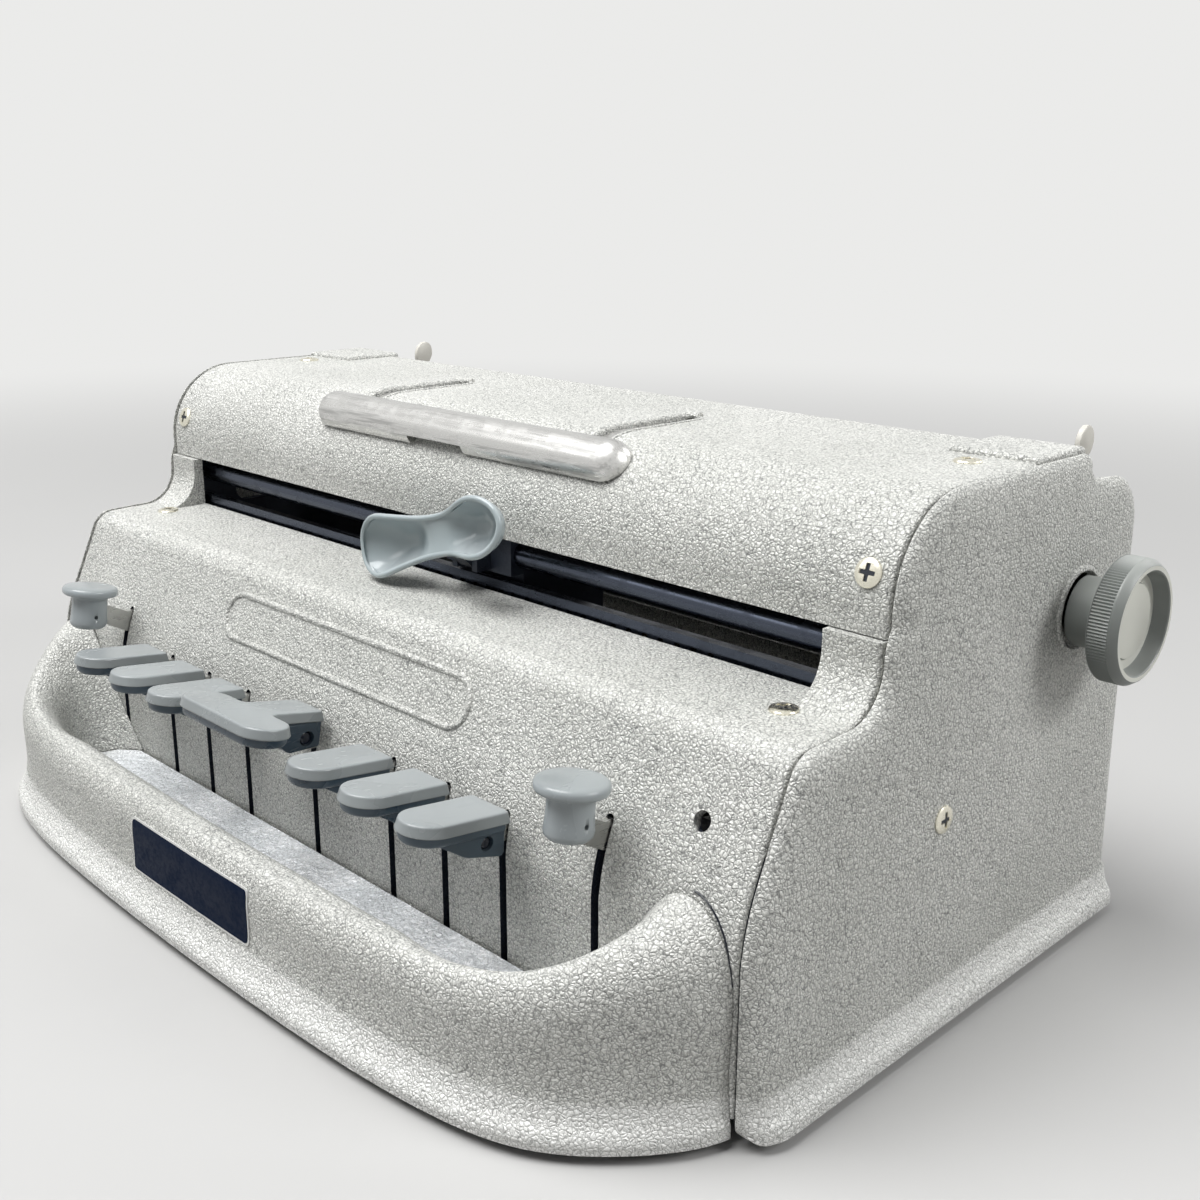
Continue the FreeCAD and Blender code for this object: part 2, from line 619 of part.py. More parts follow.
def round_cap(x):
    """Round outer key: a flat disc on a short barrel with a rounded foot."""
    y, top = ROUND_SPOT
    disc = post(x, y, top - 3.2, top, 9.7)
    disc = disc.makeFillet(0.9, [e for e in disc.Edges if e.Closed])
    barrel = post(x, y, top - 15.5, top - 3, 6.6)
    barrel = barrel.makeFillet(2.2, [lowest_edge(barrel)])
    return fuse(disc, barrel).cut(outer_blade(x))


def outer_blade(x):
    """Front blade of the line key's and the backspace key's lever."""
    y, top = ROUND_SPOT
    return slab(x - LEVER_T / 2, x + LEVER_T / 2, (y, top - 14.5), (y, top - 7.0), (3.0, 66.4),
                (7.5, 66.4), (20.0, 56.2), (33.0, 56.0), (60.0, 51.0), (62.0, 40.0), (40.0, 45.0),
                (18.0, 49.0), (6.0, 58.0), (2.0, 59.0))


def lever_hub(x, half):
    return rod(x - half, x + half, KEY_PIVOT, HUB_R)


def key_bore(shape):
    return shape.cut(rod(-200, 200, KEY_PIVOT, KEY_BORE_R))


def tail(x, reach):
    """Rear arm of a lever, which drops below the shaft and runs on under the bails."""
    knee = (KEY_PIVOT[0] + 8.0, TAIL_Z)
    return strap(x - LEVER_T / 2, x + LEVER_T / 2, TAIL_R, KEY_PIVOT, knee, (reach, TAIL_Z))


def dot_lever(x, order):
    """Lever of a dot key: its arm, a riveted spacer, and the full-width bail that lifts one pin."""
    bar_y = bail_y(order)
    arm = key_bore(fuse(lever_blade(x), lever_hub(x, 4.0), tail(x, bar_y)))
    spacer = box(x - LEVER_T / 2, x + LEVER_T / 2, bar_y - 1.1, bar_y + 1.1, TAIL_Z + TAIL_R, BAIL_Z[0])
    end = BAIL_END + BAIL_END_STEP * order
    parts = [box(-end - BAIL_ARM_T, end + BAIL_ARM_T, bar_y - BAIL_T / 2, bar_y + BAIL_T / 2, *BAIL_Z)]
    for side in (-1, 1):
        x0, x1 = sorted((side * end, side * (end + BAIL_ARM_T)))
        parts.append(rod(x0, x1, KEY_PIVOT, HUB_R))
        parts.append(box(x0, x1, KEY_PIVOT[0], bar_y + BAIL_T / 2, *BAIL_Z))
    return arm, spacer, key_bore(fuse(*parts))


def plain_lever(x, blade):
    return key_bore(fuse(blade, lever_hub(x, 4.0), tail(x, 76.0)))


def bail_y(order):
    """Bails lie one behind the other under the embossing cell."""
    return PIN_Y + (order - 2.5) * BAIL_PITCH


# ---------------------------------------------------------------- carriage
def build_carriage_block():
    """Cast block that runs on both rails, open at the rear for the sheet of paper."""
    x0, x1 = CARRIAGE_X - 16, CARRIAGE_X + 16
    lower = box(x0, x1, 64.0, 98.0, 54.0, 99.4)
    web = box(x0, x1, 62.0, 72.0, 54.0, 112.6)
    boss = box(x0, x1, 56.8, 72.0, 100.6, 112.6)
    foot = box(CARRIAGE_X - 10, CARRIAGE_X + 10, 97.0, 110.5, 63.5, 76.5)
    ears = []
    for ear in (CARRIAGE_X - 6.2, CARRIAGE_X + 3.7):
        lug = box(ear, ear + 2.5, LEVER_HINGE[0] - 2.6, 57.5, LEVER_HINGE[1] - 2.8, LEVER_HINGE[1] + 2.8)
        ears.append(lug.cut(rod(ear - 1, ear + 4, LEVER_HINGE, 1.55)))
    shape = fuse(lower, web, boss, foot, *ears)
    shape = shape.cut(rod(x0 - 1, x1 + 1, FRONT_RAIL, RAIL_R + 0.05))
    shape = shape.cut(rod(x0 - 1, x1 + 1, REAR_RAIL, RAIL_R + 0.05))
    channel = box(CARRIAGE_X - 3.4, CARRIAGE_X + 3.4, PIN_Y - 9.4, PIN_Y + 9.4, 50, 99.5)
    for hollow in (box(x0 + 3, CARRIAGE_X - 6, 75, 95, 50, 94), box(CARRIAGE_X + 6, x1 - 3, 75, 95, 50, 94)):
        shape = shape.cut(hollow)
    return shape.cut(channel)


def build_embossing_head():
    """Upper die above the paper, bolted to the block's front web."""
    head = box(CARRIAGE_X - 14, CARRIAGE_X + 14, 72.0, 96.0, 102.8, 112.0)
    lead = [e for e in head.Edges if e.BoundBox.YMin > 95.9 and e.BoundBox.XLength > 5]
    head = head.makeChamfer(3.0, lead)
    pocket = box(CARRIAGE_X - 2.8, CARRIAGE_X + 2.8, PIN_Y - 4.4, PIN_Y + 4.4, 102, 107.5)
    return head.cut(pocket)


def embossing_pin(order):
    """One of six pins: a flat slide under its bail's place, cranked over to the braille cell."""
    column = -1 if order % 2 == 0 else 1
    row = order // 2
    slide_y = bail_y(order)
    tip_y = PIN_Y + (row - 1) * 2.5
    x = CARRIAGE_X + column * 1.45
    slide = box(x - 0.9, x + 0.9, slide_y - 0.4, slide_y + 0.4, BAIL_Z[1] + 0.4, 93.0)
    crank = box(x - 0.9, x + 0.9, min(slide_y, tip_y) - 0.4, max(slide_y, tip_y) + 0.4, 91.0, 93.0)
    tip = post(x, tip_y, 93.0, 100.4, 0.45)
    return fuse(slide, crank, tip)


def build_carriage_lever():
    """Grip of the carriage: two finger dishes joined by a waist, on a hinged stem."""
    left = [(-along, width, depth, lift) for along, width, depth, lift in GRIP_SHAPE[:0:-1]]
    sections = [grip_section(*station) for station in left + list(GRIP_SHAPE)]
    grip = Part.makeLoft(sections, True, False)
    grip.rotate(V(0, 0, 0), V(1, 0, 0), GRIP_TILT)
    grip.rotate(V(0, 0, 0), V(0, 1, 0), -GRIP_ROLL)
    grip.translate(V(CARRIAGE_X, *GRIP_SPOT))
    x0, x1 = CARRIAGE_X - 3.5, CARRIAGE_X + 3.5
    stem = strap(x0, x1, 2.6, LEVER_HINGE, (GRIP_SPOT[0] + 2.0, GRIP_SPOT[1] - 1.0))
    pin = rod(CARRIAGE_X - 6.2, CARRIAGE_X + 6.2, LEVER_HINGE, 1.5)
    return fuse(grip, stem, pin)


def grip_section(along, width, depth, lift):
    """Crescent across the grip, in the plane x = along."""
    a = V(along, -width, lift + depth - GRIP_T)
    b = V(along, 0, lift - GRIP_T)
    c = V(along, width, lift + depth - GRIP_T)
    d = V(along, width, lift + depth)
    e = V(along, 0, lift)
    f = V(along, -width, lift + depth)
    edges = [Part.Arc(a, b, c).toShape(), Part.makeLine(c, d), Part.Arc(d, e, f).toShape(),
             Part.makeLine(f, a)]
    return Part.Wire(edges)


# ---------------------------------------------------------------- paper feed
def build_paper_drum():
    shell = tube(-150, 150, DRUM_AXIS, DRUM_R, DRUM_R - 2.5)
    discs = [tube(x0, x0 + 4, DRUM_AXIS, DRUM_R - 2, 5.0) for x0 in (-150, 146)]
    return fuse(shell, *discs)


def build_drum_shaft():
    return rod(-190, 190, DRUM_AXIS, 5.0)


def build_knob():
    """Right-hand knob: hub, wide rim with a chamfer, and a raised disc in a deep recess."""
    y, z = DRUM_AXIS
    section = [(180.6, 5.0), (180.6, 10.3), (187.4, 10.3), (187.4, 17.4), (188.2, 18.2),
               (195.4, 18.2), (198.0, 16.4), (198.0, 15.2), (193.4, 14.2), (193.4, 11.2),
               (194.2, 10.6), (194.2, 0.0), (190.0, 0.0), (190.0, 5.0)]
    points = [V(x, y + r, z) for x, r in section]
    face = Part.Face(Part.makePolygon(points + [points[0]]))
    return face.revolve(V(0, y, z), V(1, 0, 0), 360)


def build_ratchet_wheel():
    """Line-spacing ratchet on the drum shaft."""
    teeth, outer, inner = 20, 16.0, 13.4
    corners = []
    for i in range(teeth):
        start = 2 * math.pi * i / teeth
        end = start + 2 * math.pi / teeth * 0.86
        corners.append((DRUM_AXIS[0] + outer * math.cos(start), DRUM_AXIS[1] + outer * math.sin(start)))
        corners.append((DRUM_AXIS[0] + inner * math.cos(end), DRUM_AXIS[1] + inner * math.sin(end)))
    wheel = slab(-158.5, -155.0, *corners)
    hub = rod(-161.0, -152.0, DRUM_AXIS, 8.5)
    return fuse(wheel, hub).cut(rod(-170, -140, DRUM_AXIS, 5.0))


def build_feed_rollers():
    """Roller shaft with four rubber sleeves that press the paper to the drum."""
    shaft = rod(-157.0, 157.0, FEED_AXIS, 3.0)
    sleeves = [rod(x - 15, x + 15, FEED_AXIS, 6.0) for x in (-112.5, -37.5, 37.5, 112.5)]
    return fuse(shaft, *sleeves)


def build_roller_cradle():
    """Rocking cradle that carries the feed rollers."""
    bar = rod(-160, 160, CRADLE_AXIS, 4.0)
    journals = rod(-FRAME_X - FRAME_T, FRAME_X + FRAME_T, CRADLE_AXIS, 3.0)
    arms = [strap(x0, x0 + 3, 5.6, CRADLE_AXIS, FEED_AXIS) for x0 in (-156.5, 153.5)]
    return fuse(bar, journals, *arms).cut(rod(-170, 170, FEED_AXIS, 3.05))


def build_release_shaft():
    core = rod(-163.5, 163.5, RELEASE_AXIS, 4.0)
    return fuse(core, rod(-FRAME_X - FRAME_T, FRAME_X + FRAME_T, RELEASE_AXIS, 3.0))


def build_release_lever():
    """Right-hand paper release lever with a round tip."""
    arm = strap(159.6, 162.6, 3.0, RELEASE_AXIS, (167.5, 133.0), (172.7, 147.6))
    tip = rod(159.0, 163.2, (172.7, 147.6), 3.8)
    hub = rod(159.0, 163.2, RELEASE_AXIS, 6.0)
    shape = fuse(arm, tip, hub)
    return shape.cut(rod(150, 170, RELEASE_AXIS, 4.0))


# ---------------------------------------------------------------- handle
def handle_point(tangent, outward):
    """Point of the handle's section, measured from its seat on the cover's curve."""
    uy, uz = -0.652, 0.758
    return (63.1 + tangent * uz + outward * uy, 141.3 - tangent * uy + outward * uz)


def handle_arm(x):
    points = (handle_point(0, 2.6), (72.5, 143.6), (84.0, 144.3), (95.0, 143.8), HANDLE_AXIS)
    return strap(x - 2.3, x + 2.3, 3.1, *points)


def build_handle_arms():
    """Two flat arms with a pivot pin through the rear end of each."""
    pins = [rod(x - 6.5, x + 6.5, HANDLE_AXIS, 2.0) for x in (-HANDLE_ARM_X, HANDLE_ARM_X)]
    return [fuse(handle_arm(x), pin) for x, pin in zip((-HANDLE_ARM_X, HANDLE_ARM_X), pins)]


def build_handle_bar():
    """Half-round polished bar with a finger cut-out in its lower edge."""
    half, radius, seat = 76.0, 7.2, 0.4
    centre = handle_point(0, seat)
    round_bar = rod(radius - half, half - radius, centre, radius)
    for x in (radius - half, half - radius):
        round_bar = round_bar.fuse(Part.makeSphere(radius, V(x, *centre)))
    upper = slab(-half - 1, half + 1, handle_point(-9, seat), handle_point(-9, 9),
                 handle_point(9, 9), handle_point(9, seat))
    bar = round_bar.removeSplitter().common(upper)
    notch = slab(-20, 8, handle_point(-9, -2), handle_point(-9, 3.4), handle_point(-3.6, 3.4),
                 handle_point(-3.6, -2))
    bar = bar.cut(notch)
    for x in (-HANDLE_ARM_X, HANDLE_ARM_X):
        bar = bar.cut(handle_arm(x))
    return max(bar.Solids, key=lambda s: s.Volume)


# ---------------------------------------------------------------- mainspring and bell
def build_mainspring_drum():
    """Flat round spring barrel that pulls the carriage, with a groove for its band."""
    x, z = SPRING_SPOT
    barrel = Part.makeCylinder(20.0, 14, V(x, 112, z), V(0, 1, 0))
    groove = Part.makeCylinder(24.0, 7, V(x, 114, z), V(0, 1, 0))
    groove = groove.cut(Part.makeCylinder(18.0, 7, V(x, 114, z), V(0, 1, 0)))
    return barrel.cut(groove).cut(Part.makeCylinder(3.05, 30, V(x, 105, z), V(0, 1, 0)))


def spring_bracket():
    """Upright lug of the base plate with the arbor of the spring barrel."""
    x, z = SPRING_SPOT
    plate = box(x - 14, x + 14, 127.5, 130.5, 3.5, z + 7)
    sole = box(x - 14, x + 14, 130.0, 142.0, 3.5, 6.0)
    arbor = Part.makeCylinder(3.0, 18.5, V(x, 110.5, z), V(0, 1, 0))
    return fuse(plate, sole, arbor)


def build_bell():
    """Turned bell shell that stands on a stud of the base plate."""
    x, y = BELL_SPOT
    dome = post(x, y, 12.0, 30.0, 18.0)
    crown = [e for e in dome.Edges if e.Closed and e.CenterOfMass.z > 29]
    dome = dome.makeFillet(9.0, crown)
    hollow = post(x, y, 11.0, 28.4, 16.4)
    crown = [e for e in hollow.Edges if e.Closed and e.CenterOfMass.z > 28]
    hollow = hollow.makeFillet(7.6, crown)
    return fuse(dome.cut(hollow), post(x, y, 3.5, 32.0, 2.5))


def build_bell_clapper():
    """Striker arm that swings on its own stud beside the bell."""
    x, y = CLAPPER_SPOT
    arm = plan(12.5, 15.0, (x + 2, y + 3.5), (x - 11, y + 11.5), (x - 13.5, y + 8.5), (x - 2, y - 3.5))
    striker = post(x - 12, y + 10, 11.5, 16.0, 3.0)
    hub = post(x, y, 11.0, 17.0, 5.0)
    return fuse(arm, striker, hub).cut(post(x, y, 0, 30, 2.05))


def clapper_stud():
    x, y = CLAPPER_SPOT
    return post(x, y, 3.5, 19.0, 2.0)


# ---------------------------------------------------------------- all nodes
def simple_nodes():
    """Nodes that need one builder each."""
    side = build_side_panel()
    frame = build_frame()
    knob = build_knob()
    lever = build_release_lever()
    screws = [s.solid() for s in
              SHELF_SCREWS + COVER_SCREWS + COVER_TOP_SCREWS + SIDE_SCREWS + BASE_SCREWS]
    return {
        "base_plate": [build_base_plate()],
        "rubber_feet": build_rubber_feet(),
        "front_apron": [build_front_apron()],
        "front_panel": [build_front_panel()],
        "left_side_panel": [mirrored(side)],
        "right_side_panel": [side],
        "top_cover": [build_top_cover()],
        "rear_panel": [build_rear_panel()],
        "paper_table": [build_paper_table()],
        "side_frames": [mirrored(frame), frame],
        "cross_members": build_cross_members(),
        "carriage_rails": build_carriage_rails(),
        "escapement_rack": [build_escapement_rack()],
        "key_shaft": [rod(-FRAME_X, FRAME_X, KEY_PIVOT, KEY_SHAFT_R)],
        "key_springs": build_key_springs(),
        "casing_screws": screws,
        "margin_rail": [build_margin_rail()],
        "left_margin_stop": [build_margin_stop(-125.0)],
        "right_margin_stop": [build_margin_stop(125.0)],
        "carriage_block": [build_carriage_block()],
        "embossing_head": [build_embossing_head()],
        "carriage_lever": [build_carriage_lever()],
        "paper_drum": [build_paper_drum()],
        "drum_shaft": [build_drum_shaft()],
        "left_knob": [mirrored(knob)],
        "right_knob": [knob],
        "ratchet_wheel": [build_ratchet_wheel()],
        "feed_rollers": [build_feed_rollers()],
        "roller_cradle": [build_roller_cradle()],
        "release_shaft": [build_release_shaft()],
        "release_levers": [mirrored(lever), lever],
        "handle_bar": [build_handle_bar()],
        "handle_arms": build_handle_arms(),
        "mainspring_drum": [build_mainspring_drum()],
        "bell": [build_bell()],
        "bell_clapper": [build_bell_clapper()],
    }


def key_nodes():
    """Caps and levers of the nine keys, and the six embossing pins."""
    nodes = {}
    cap = finger_cap()
    for number, (x, order) in DOT_KEYS.items():
        moved = cap.copy()
        moved.translate(V(x, 0, 0))
        nodes["dot_%d_key_cap" % number] = [moved]
        nodes["dot_%d_lever" % number] = list(dot_lever(x, order))
        nodes["dot_%d_pin" % number] = [embossing_pin(order)]
    nodes["space_bar"] = [space_cap()]
    nodes["space_lever"] = [plain_lever(0.0, lever_blade(0.0))]
    for name, x in (("line", -OUTER_KEY_X), ("backspace", OUTER_KEY_X)):
        nodes["%s_key_cap" % name] = [round_cap(x)]
        nodes["%s_lever" % name] = [plain_lever(x, outer_blade(x))]
    return nodes


def main():
    os.makedirs("parts", exist_ok=True)
    nodes = simple_nodes()
    nodes.update(key_nodes())
    for name, shapes in nodes.items():
        save(name, *shapes)


main()
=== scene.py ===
import bmesh
import bpy
import math
from mathutils import Euler, Matrix, Vector
from mathutils.bvhtree import BVHTree
from mathutils.geometry import delaunay_2d_cdt
from mathutils.kdtree import KDTree


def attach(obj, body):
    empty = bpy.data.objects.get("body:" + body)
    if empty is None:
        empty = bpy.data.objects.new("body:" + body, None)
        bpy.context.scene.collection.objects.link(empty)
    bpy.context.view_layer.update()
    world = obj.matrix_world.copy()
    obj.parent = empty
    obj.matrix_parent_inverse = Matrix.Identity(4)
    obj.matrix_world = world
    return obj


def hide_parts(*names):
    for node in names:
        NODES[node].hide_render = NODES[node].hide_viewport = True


# Manual braille writer. Pieces are written in the drawing's millimetres: x from the symmetry
# plane, y from the foot of the key panel to the rear, z from the casing's lower edge.

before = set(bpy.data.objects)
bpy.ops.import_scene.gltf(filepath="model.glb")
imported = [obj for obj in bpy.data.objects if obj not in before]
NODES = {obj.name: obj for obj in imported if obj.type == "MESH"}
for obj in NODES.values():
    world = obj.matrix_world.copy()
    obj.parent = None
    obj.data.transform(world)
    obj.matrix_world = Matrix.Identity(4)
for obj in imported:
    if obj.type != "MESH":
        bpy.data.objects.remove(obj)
SCENE = bpy.context.scene
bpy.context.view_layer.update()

MID_Y = 63.7  # the drawing's y at the frame's origin
FOOT_DROP = 3.0  # height of the rubber feet
KEY_PITCH = 25.4
FINGER_X = [40.2 + KEY_PITCH * k for k in range(3)]
DOT_X = dict(enumerate([-x for x in FINGER_X] + FINGER_X, 1))
OUTER_KEY_X = 126.7  # line key and backspace key
HANDLE_X = 57.5  # arms of the handle
SHELF_Z = 94.3  # shelf in front of the carriage window
TOP_Z = 148.2  # flat top of the cover
COVER_BEND = (81.0, 120.6, 27.6)  # y, z and radius of the cover's front curve
KEY_SHAFT = (62.0, 46.0)  # y and z, as in the axes below
DRUM_AXIS = (143.9, 103.5)
GRIP_HINGE = (53.6, 104.0)
RELEASE_AXIS = (163.0, 117.0)


def at(x, y, z):
    """Point of the drawing, in metres, in the frame."""
    return Vector((x / 1000.0, (y - MID_Y) / 1000.0, (z + FOOT_DROP) / 1000.0))


def drawn(point):
    """Point of the frame, in the drawing's millimetres."""
    return point.x * 1000.0, point.y * 1000.0 + MID_Y, point.z * 1000.0 - FOOT_DROP


def smooth(t):
    """Soft step from 0 to 1."""
    t = min(max(t, 0.0), 1.0)
    return t * t * (3 - 2 * t)


def around(steps):
    """Angles of a full turn."""
    return [2 * math.pi * i / steps for i in range(steps)]


# ---- materials
def rgb(red, green, blue):
    return (red, green, blue, 1.0)


def shade(tint, factor, lift=0.0):
    """Lighter or darker tone of a tint."""
    return rgb(*(min(c * factor + lift, 1.0) for c in tint[:3]))


class Shader:
    """A material, or the world, with short calls that add nodes to it."""

    def __init__(self, name, store=bpy.data.materials, **sockets):
        self.owner = store.new(name)
        self.owner.use_nodes = True
        self.tree = self.owner.node_tree
        output = next(node for node in self.tree.nodes if node.type.startswith("OUTPUT"))
        self.surface = output.inputs["Surface"]
        self.base = self.surface.links[0].from_node
        self.set(self.base, sockets)

    def feed(self, socket, value):
        """Link a socket to another node's output, or set its own value."""
        if isinstance(value, bpy.types.NodeSocket):
            self.tree.links.new(value, socket)
        else:
            socket.default_value = value

    def set(self, node, sockets):
        for key, value in sockets.items():
            self.feed(node.inputs[key.replace("_", " ")], value)

    def add(self, kind, settings=None, **sockets):
        node = self.tree.nodes.new("ShaderNode" + kind)
        for key, value in (settings or {}).items():
            setattr(node, key, value)
        self.set(node, sockets)
        return node

    def place(self):
        return self.add("TexCoord").outputs["Object"]

    def facing(self, axis):
        """One part of the surface's direction."""
        normal = self.add("NewGeometry").outputs["Normal"]
        return self.add("SeparateXYZ", Vector=normal).outputs[axis]

    def noise(self, where, scale, detail=2.0, roughness=0.5):
        node = self.add("TexNoise", Vector=where, Scale=scale, Detail=detail, Roughness=roughness)
        return node.outputs["Fac"]

    def cells(self, where, scale):
        """Distance to the nearest edge between scattered cells."""
        node = self.add("TexVoronoi", {"feature": "DISTANCE_TO_EDGE"}, Vector=where, Scale=scale)
        return node.outputs["Distance"]

    def stretched(self, where, scale):
        return self.add("Mapping", Vector=where, Scale=scale).outputs["Vector"]

    def ramp(self, value, low, high, to_low=0.0, to_high=1.0):
        node = self.add("MapRange", {"interpolation_type": "SMOOTHSTEP"}, Value=value)
        self.set(node, {"From_Min": low, "From_Max": high, "To_Min": to_low, "To_Max": to_high})
        return node.outputs["Result"]

    def math(self, operation, a, b):
        node = self.add("Math", {"operation": operation})
        self.feed(node.inputs[0], a)
        self.feed(node.inputs[1], b)
        return node.outputs["Value"]

    def times(self, a, b):
        return self.math("MULTIPLY", a, b)

    def blend(self, factor, a, b):
        node = self.add("Mix", {"data_type": "RGBA"})
        for index, value in ((0, factor), (6, a), (7, b)):
            self.feed(node.inputs[index], value)
        return node.outputs[2]

    def between(self, where, axis, low, high, soft):
        """1 inside a range of one object coordinate, 0 outside, with soft ends."""
        value = self.add("SeparateXYZ", Vector=where).outputs[axis]
        rise = self.ramp(value, low - soft, low + soft)
        fall = self.ramp(value, high - soft, high + soft, 1.0, 0.0)
        return self.times(rise, fall)

    def done(self, colour, roughness, height, distance, strength):
        """Material with its colour, roughness and bump in place."""
        bump = self.add("Bump", Height=height, Distance=distance, Strength=strength)
        normal = bump.outputs["Normal"]
        self.set(self.base, {"Base_Color": colour, "Roughness": roughness, "Normal": normal})
        return self.owner

    def seen(self):
        """1 in the picture itself and in mirrored light, 0 in soft light."""
        rays = self.add("LightPath").outputs
        return self.math("MAXIMUM", rays["Is Camera Ray"], rays["Is Glossy Ray"])

    def cover(self, factor, other):
        """Show another shader over the base, and give back the material or the world."""
        mix = self.add("MixShader")
        for socket, value in zip(mix.inputs, (factor, self.base.outputs[0], other.outputs[0])):
            self.feed(socket, value)
        self.feed(self.surface, mix.outputs[0])
        return self.owner


# painted shade for the creases between the pebbles
CREASE_SHADE = rgb(0.16, 0.165, 0.16)
PEBBLES = (rgb(0.70, 0.703, 0.665), rgb(0.78, 0.78, 0.744))
# painted highlight for the up-facing flared foot band
FOOT_HIGHLIGHT = rgb(0.93, 0.93, 0.905)
TROUGH_TONE = rgb(0.72, 0.745, 0.77)
# bare rubbed metal, with near-white painted glints
RUBBED_GLINT_TONE = rgb(0.97, 0.98, 1.0)
# painted shade for the walls of the lever slots
SLOT_SHADE = rgb(0.006, 0.011, 0.024)
FOOT_RISE = 0.0145  # metres in object space, as the two values below
TROUGH_RISE = 0.0195
TROUGH_HALF = 0.126


def enamel(name, worn_with_glints=False, slot_shaded=False):
    """Silver-grey wrinkle enamel: pale pebbles a millimetre across, with painted shade in the
    creases between them and a painted highlight on the flared foot band.

    One flag rubs the floor of the finger trough bare and paints near-white glints on it; the other
    paints shade on the walls of the lever slots.
    """
    s = Shader(name, Metallic=0.16)
    where = s.place()
    warp = s.add("TexNoise", Vector=where, Scale=520.0, Detail=1.0).outputs["Color"]
    shift = s.add("VectorMath", {"operation": "SCALE"}, Vector=warp, Scale=0.0014)
    moved = s.add("VectorMath", {"operation": "ADD"})
    s.feed(moved.inputs[0], where)
    s.feed(moved.inputs[1], shift.outputs["Vector"])
    bent = moved.outputs["Vector"]
    pebbles = s.cells(bent, 820.0)
    grain = s.noise(bent, 1300.0, 2.0, 0.6)
    broad = s.noise(where, 26.0, 3.0, 0.6)
    crack = s.times(s.ramp(s.cells(bent, 380.0), 0.0, 0.04, 1.0, 0.0), s.ramp(broad, 0.38, 0.6, 0.5, 1.0))

    height = s.math("SUBTRACT", s.times(s.ramp(pebbles, 0.0, 0.32), 0.7), s.times(crack, 0.5))
    height = s.math("ADD", height, s.times(grain, 0.9))
    height = s.math("ADD", height, s.times(s.noise(where, 380.0), 1.3))

    patch = s.ramp(s.noise(where, 11.0, 4.0, 0.6), 0.35, 0.65)
    # painted shade: creases between pebbles, low grain and cracks are darkened, as shade falls in them
    painted_light_share = s.times(s.ramp(pebbles, 0.0, 0.085, 0.2, 1.0), s.ramp(grain, 0.34, 0.54, 0.5, 1.0))
    painted_light_share = s.times(painted_light_share, s.math("SUBTRACT", 1.0, s.times(crack, 0.75)))
    colour = s.blend(painted_light_share, CREASE_SHADE, s.blend(patch, *PEBBLES))
    # painted highlight: below FOOT_RISE the enamel is pushed towards near-white, most on pebble tops, as
    # light falls on the foot's slope
    foot_highlight = s.times(s.between(where, "Z", 0.0, FOOT_RISE, 0.0012), s.ramp(painted_light_share, 0.2, 0.9, 0.25, 0.85))
    colour = s.blend(foot_highlight, colour, FOOT_HIGHLIGHT)
    rough = s.ramp(grain, 0.3, 0.7, 0.4, 0.6)

    if worn_with_glints:
        level = s.ramp(s.facing("Z"), 0.8, 0.96)
        floor = s.times(s.between(where, "Z", 0.0, TROUGH_RISE, 0.0015), level)
        floor = s.times(floor, s.between(where, "X", -TROUGH_HALF, TROUGH_HALF, 0.01))
        smudge = s.ramp(s.noise(where, 42.0, 4.0, 0.65), 0.42, 0.58, 0.1, 1.0)
        # wear and painted glints: the up-facing trough floor is rubbed bare, and patches of near-white
        # specks paint glints of light on it
        speck = s.ramp(s.noise(where, 640.0, 2.0, 0.6), 0.46, 0.6, 0.35, 1.0)
        colour = s.blend(floor, colour, TROUGH_TONE)
        colour = s.blend(s.times(floor, s.times(smudge, speck)), colour, RUBBED_GLINT_TONE)
        rough = s.math("SUBTRACT", rough, s.times(floor, 0.26))
        pool = s.times(s.noise(where, 430.0, 2.0, 0.6), s.times(floor, 6.5))
        height = s.math("ADD", height, pool)
    if slot_shaded:
        # painted shade: panel faces that do not face the front, below 74.5 mm, turn near-black, as shade
        # falls in the lever slots
        inward = s.ramp(s.facing("Y"), -0.4, -0.2)
        slot_shade_mask = s.times(inward, s.between(where, "Z", -0.01, 0.0745, 0.0005))
        colour = s.blend(slot_shade_mask, colour, SLOT_SHADE)
        rough = s.math("ADD", rough, s.times(slot_shade_mask, 0.4))
    return s.done(colour, rough, height, 0.00042, 0.7)


def plastic(name, tint, side, rough):
    """Glossy moulded plastic with pale rubbed smears; tops take the tint and sides the side tone, painted
    light and shade.
    """
    s = Shader(name, IOR=1.5)
    where = s.place()
    smear = s.noise(where, 38.0, 1.0)
    scuff = s.noise(s.stretched(where, (1.0, 0.25, 1.0)), 420.0, 2.0, 0.6)
    # painted light and shade: faces that point up take the tint, faces that point sideways the side tone
    colour = s.blend(s.ramp(s.facing("Z"), 0.3, 0.9), side, tint)
    colour = s.blend(s.ramp(smear, 0.42, 0.66, 0.0, 0.3), colour, shade(tint, 1.35))
    roughness = s.math("ADD", s.ramp(smear, 0.35, 0.65, rough - 0.05, rough + 0.1),
                       s.ramp(scuff, 0.55, 0.75, 0.0, 0.12))
    return s.done(colour, roughness, smear, 0.0004, 0.12)


ACROSS = (0.05, 1.0, 1.0)  # grain drawn out along x
DEEP = (1.0, 0.1, 1.0)  # grain drawn out along y


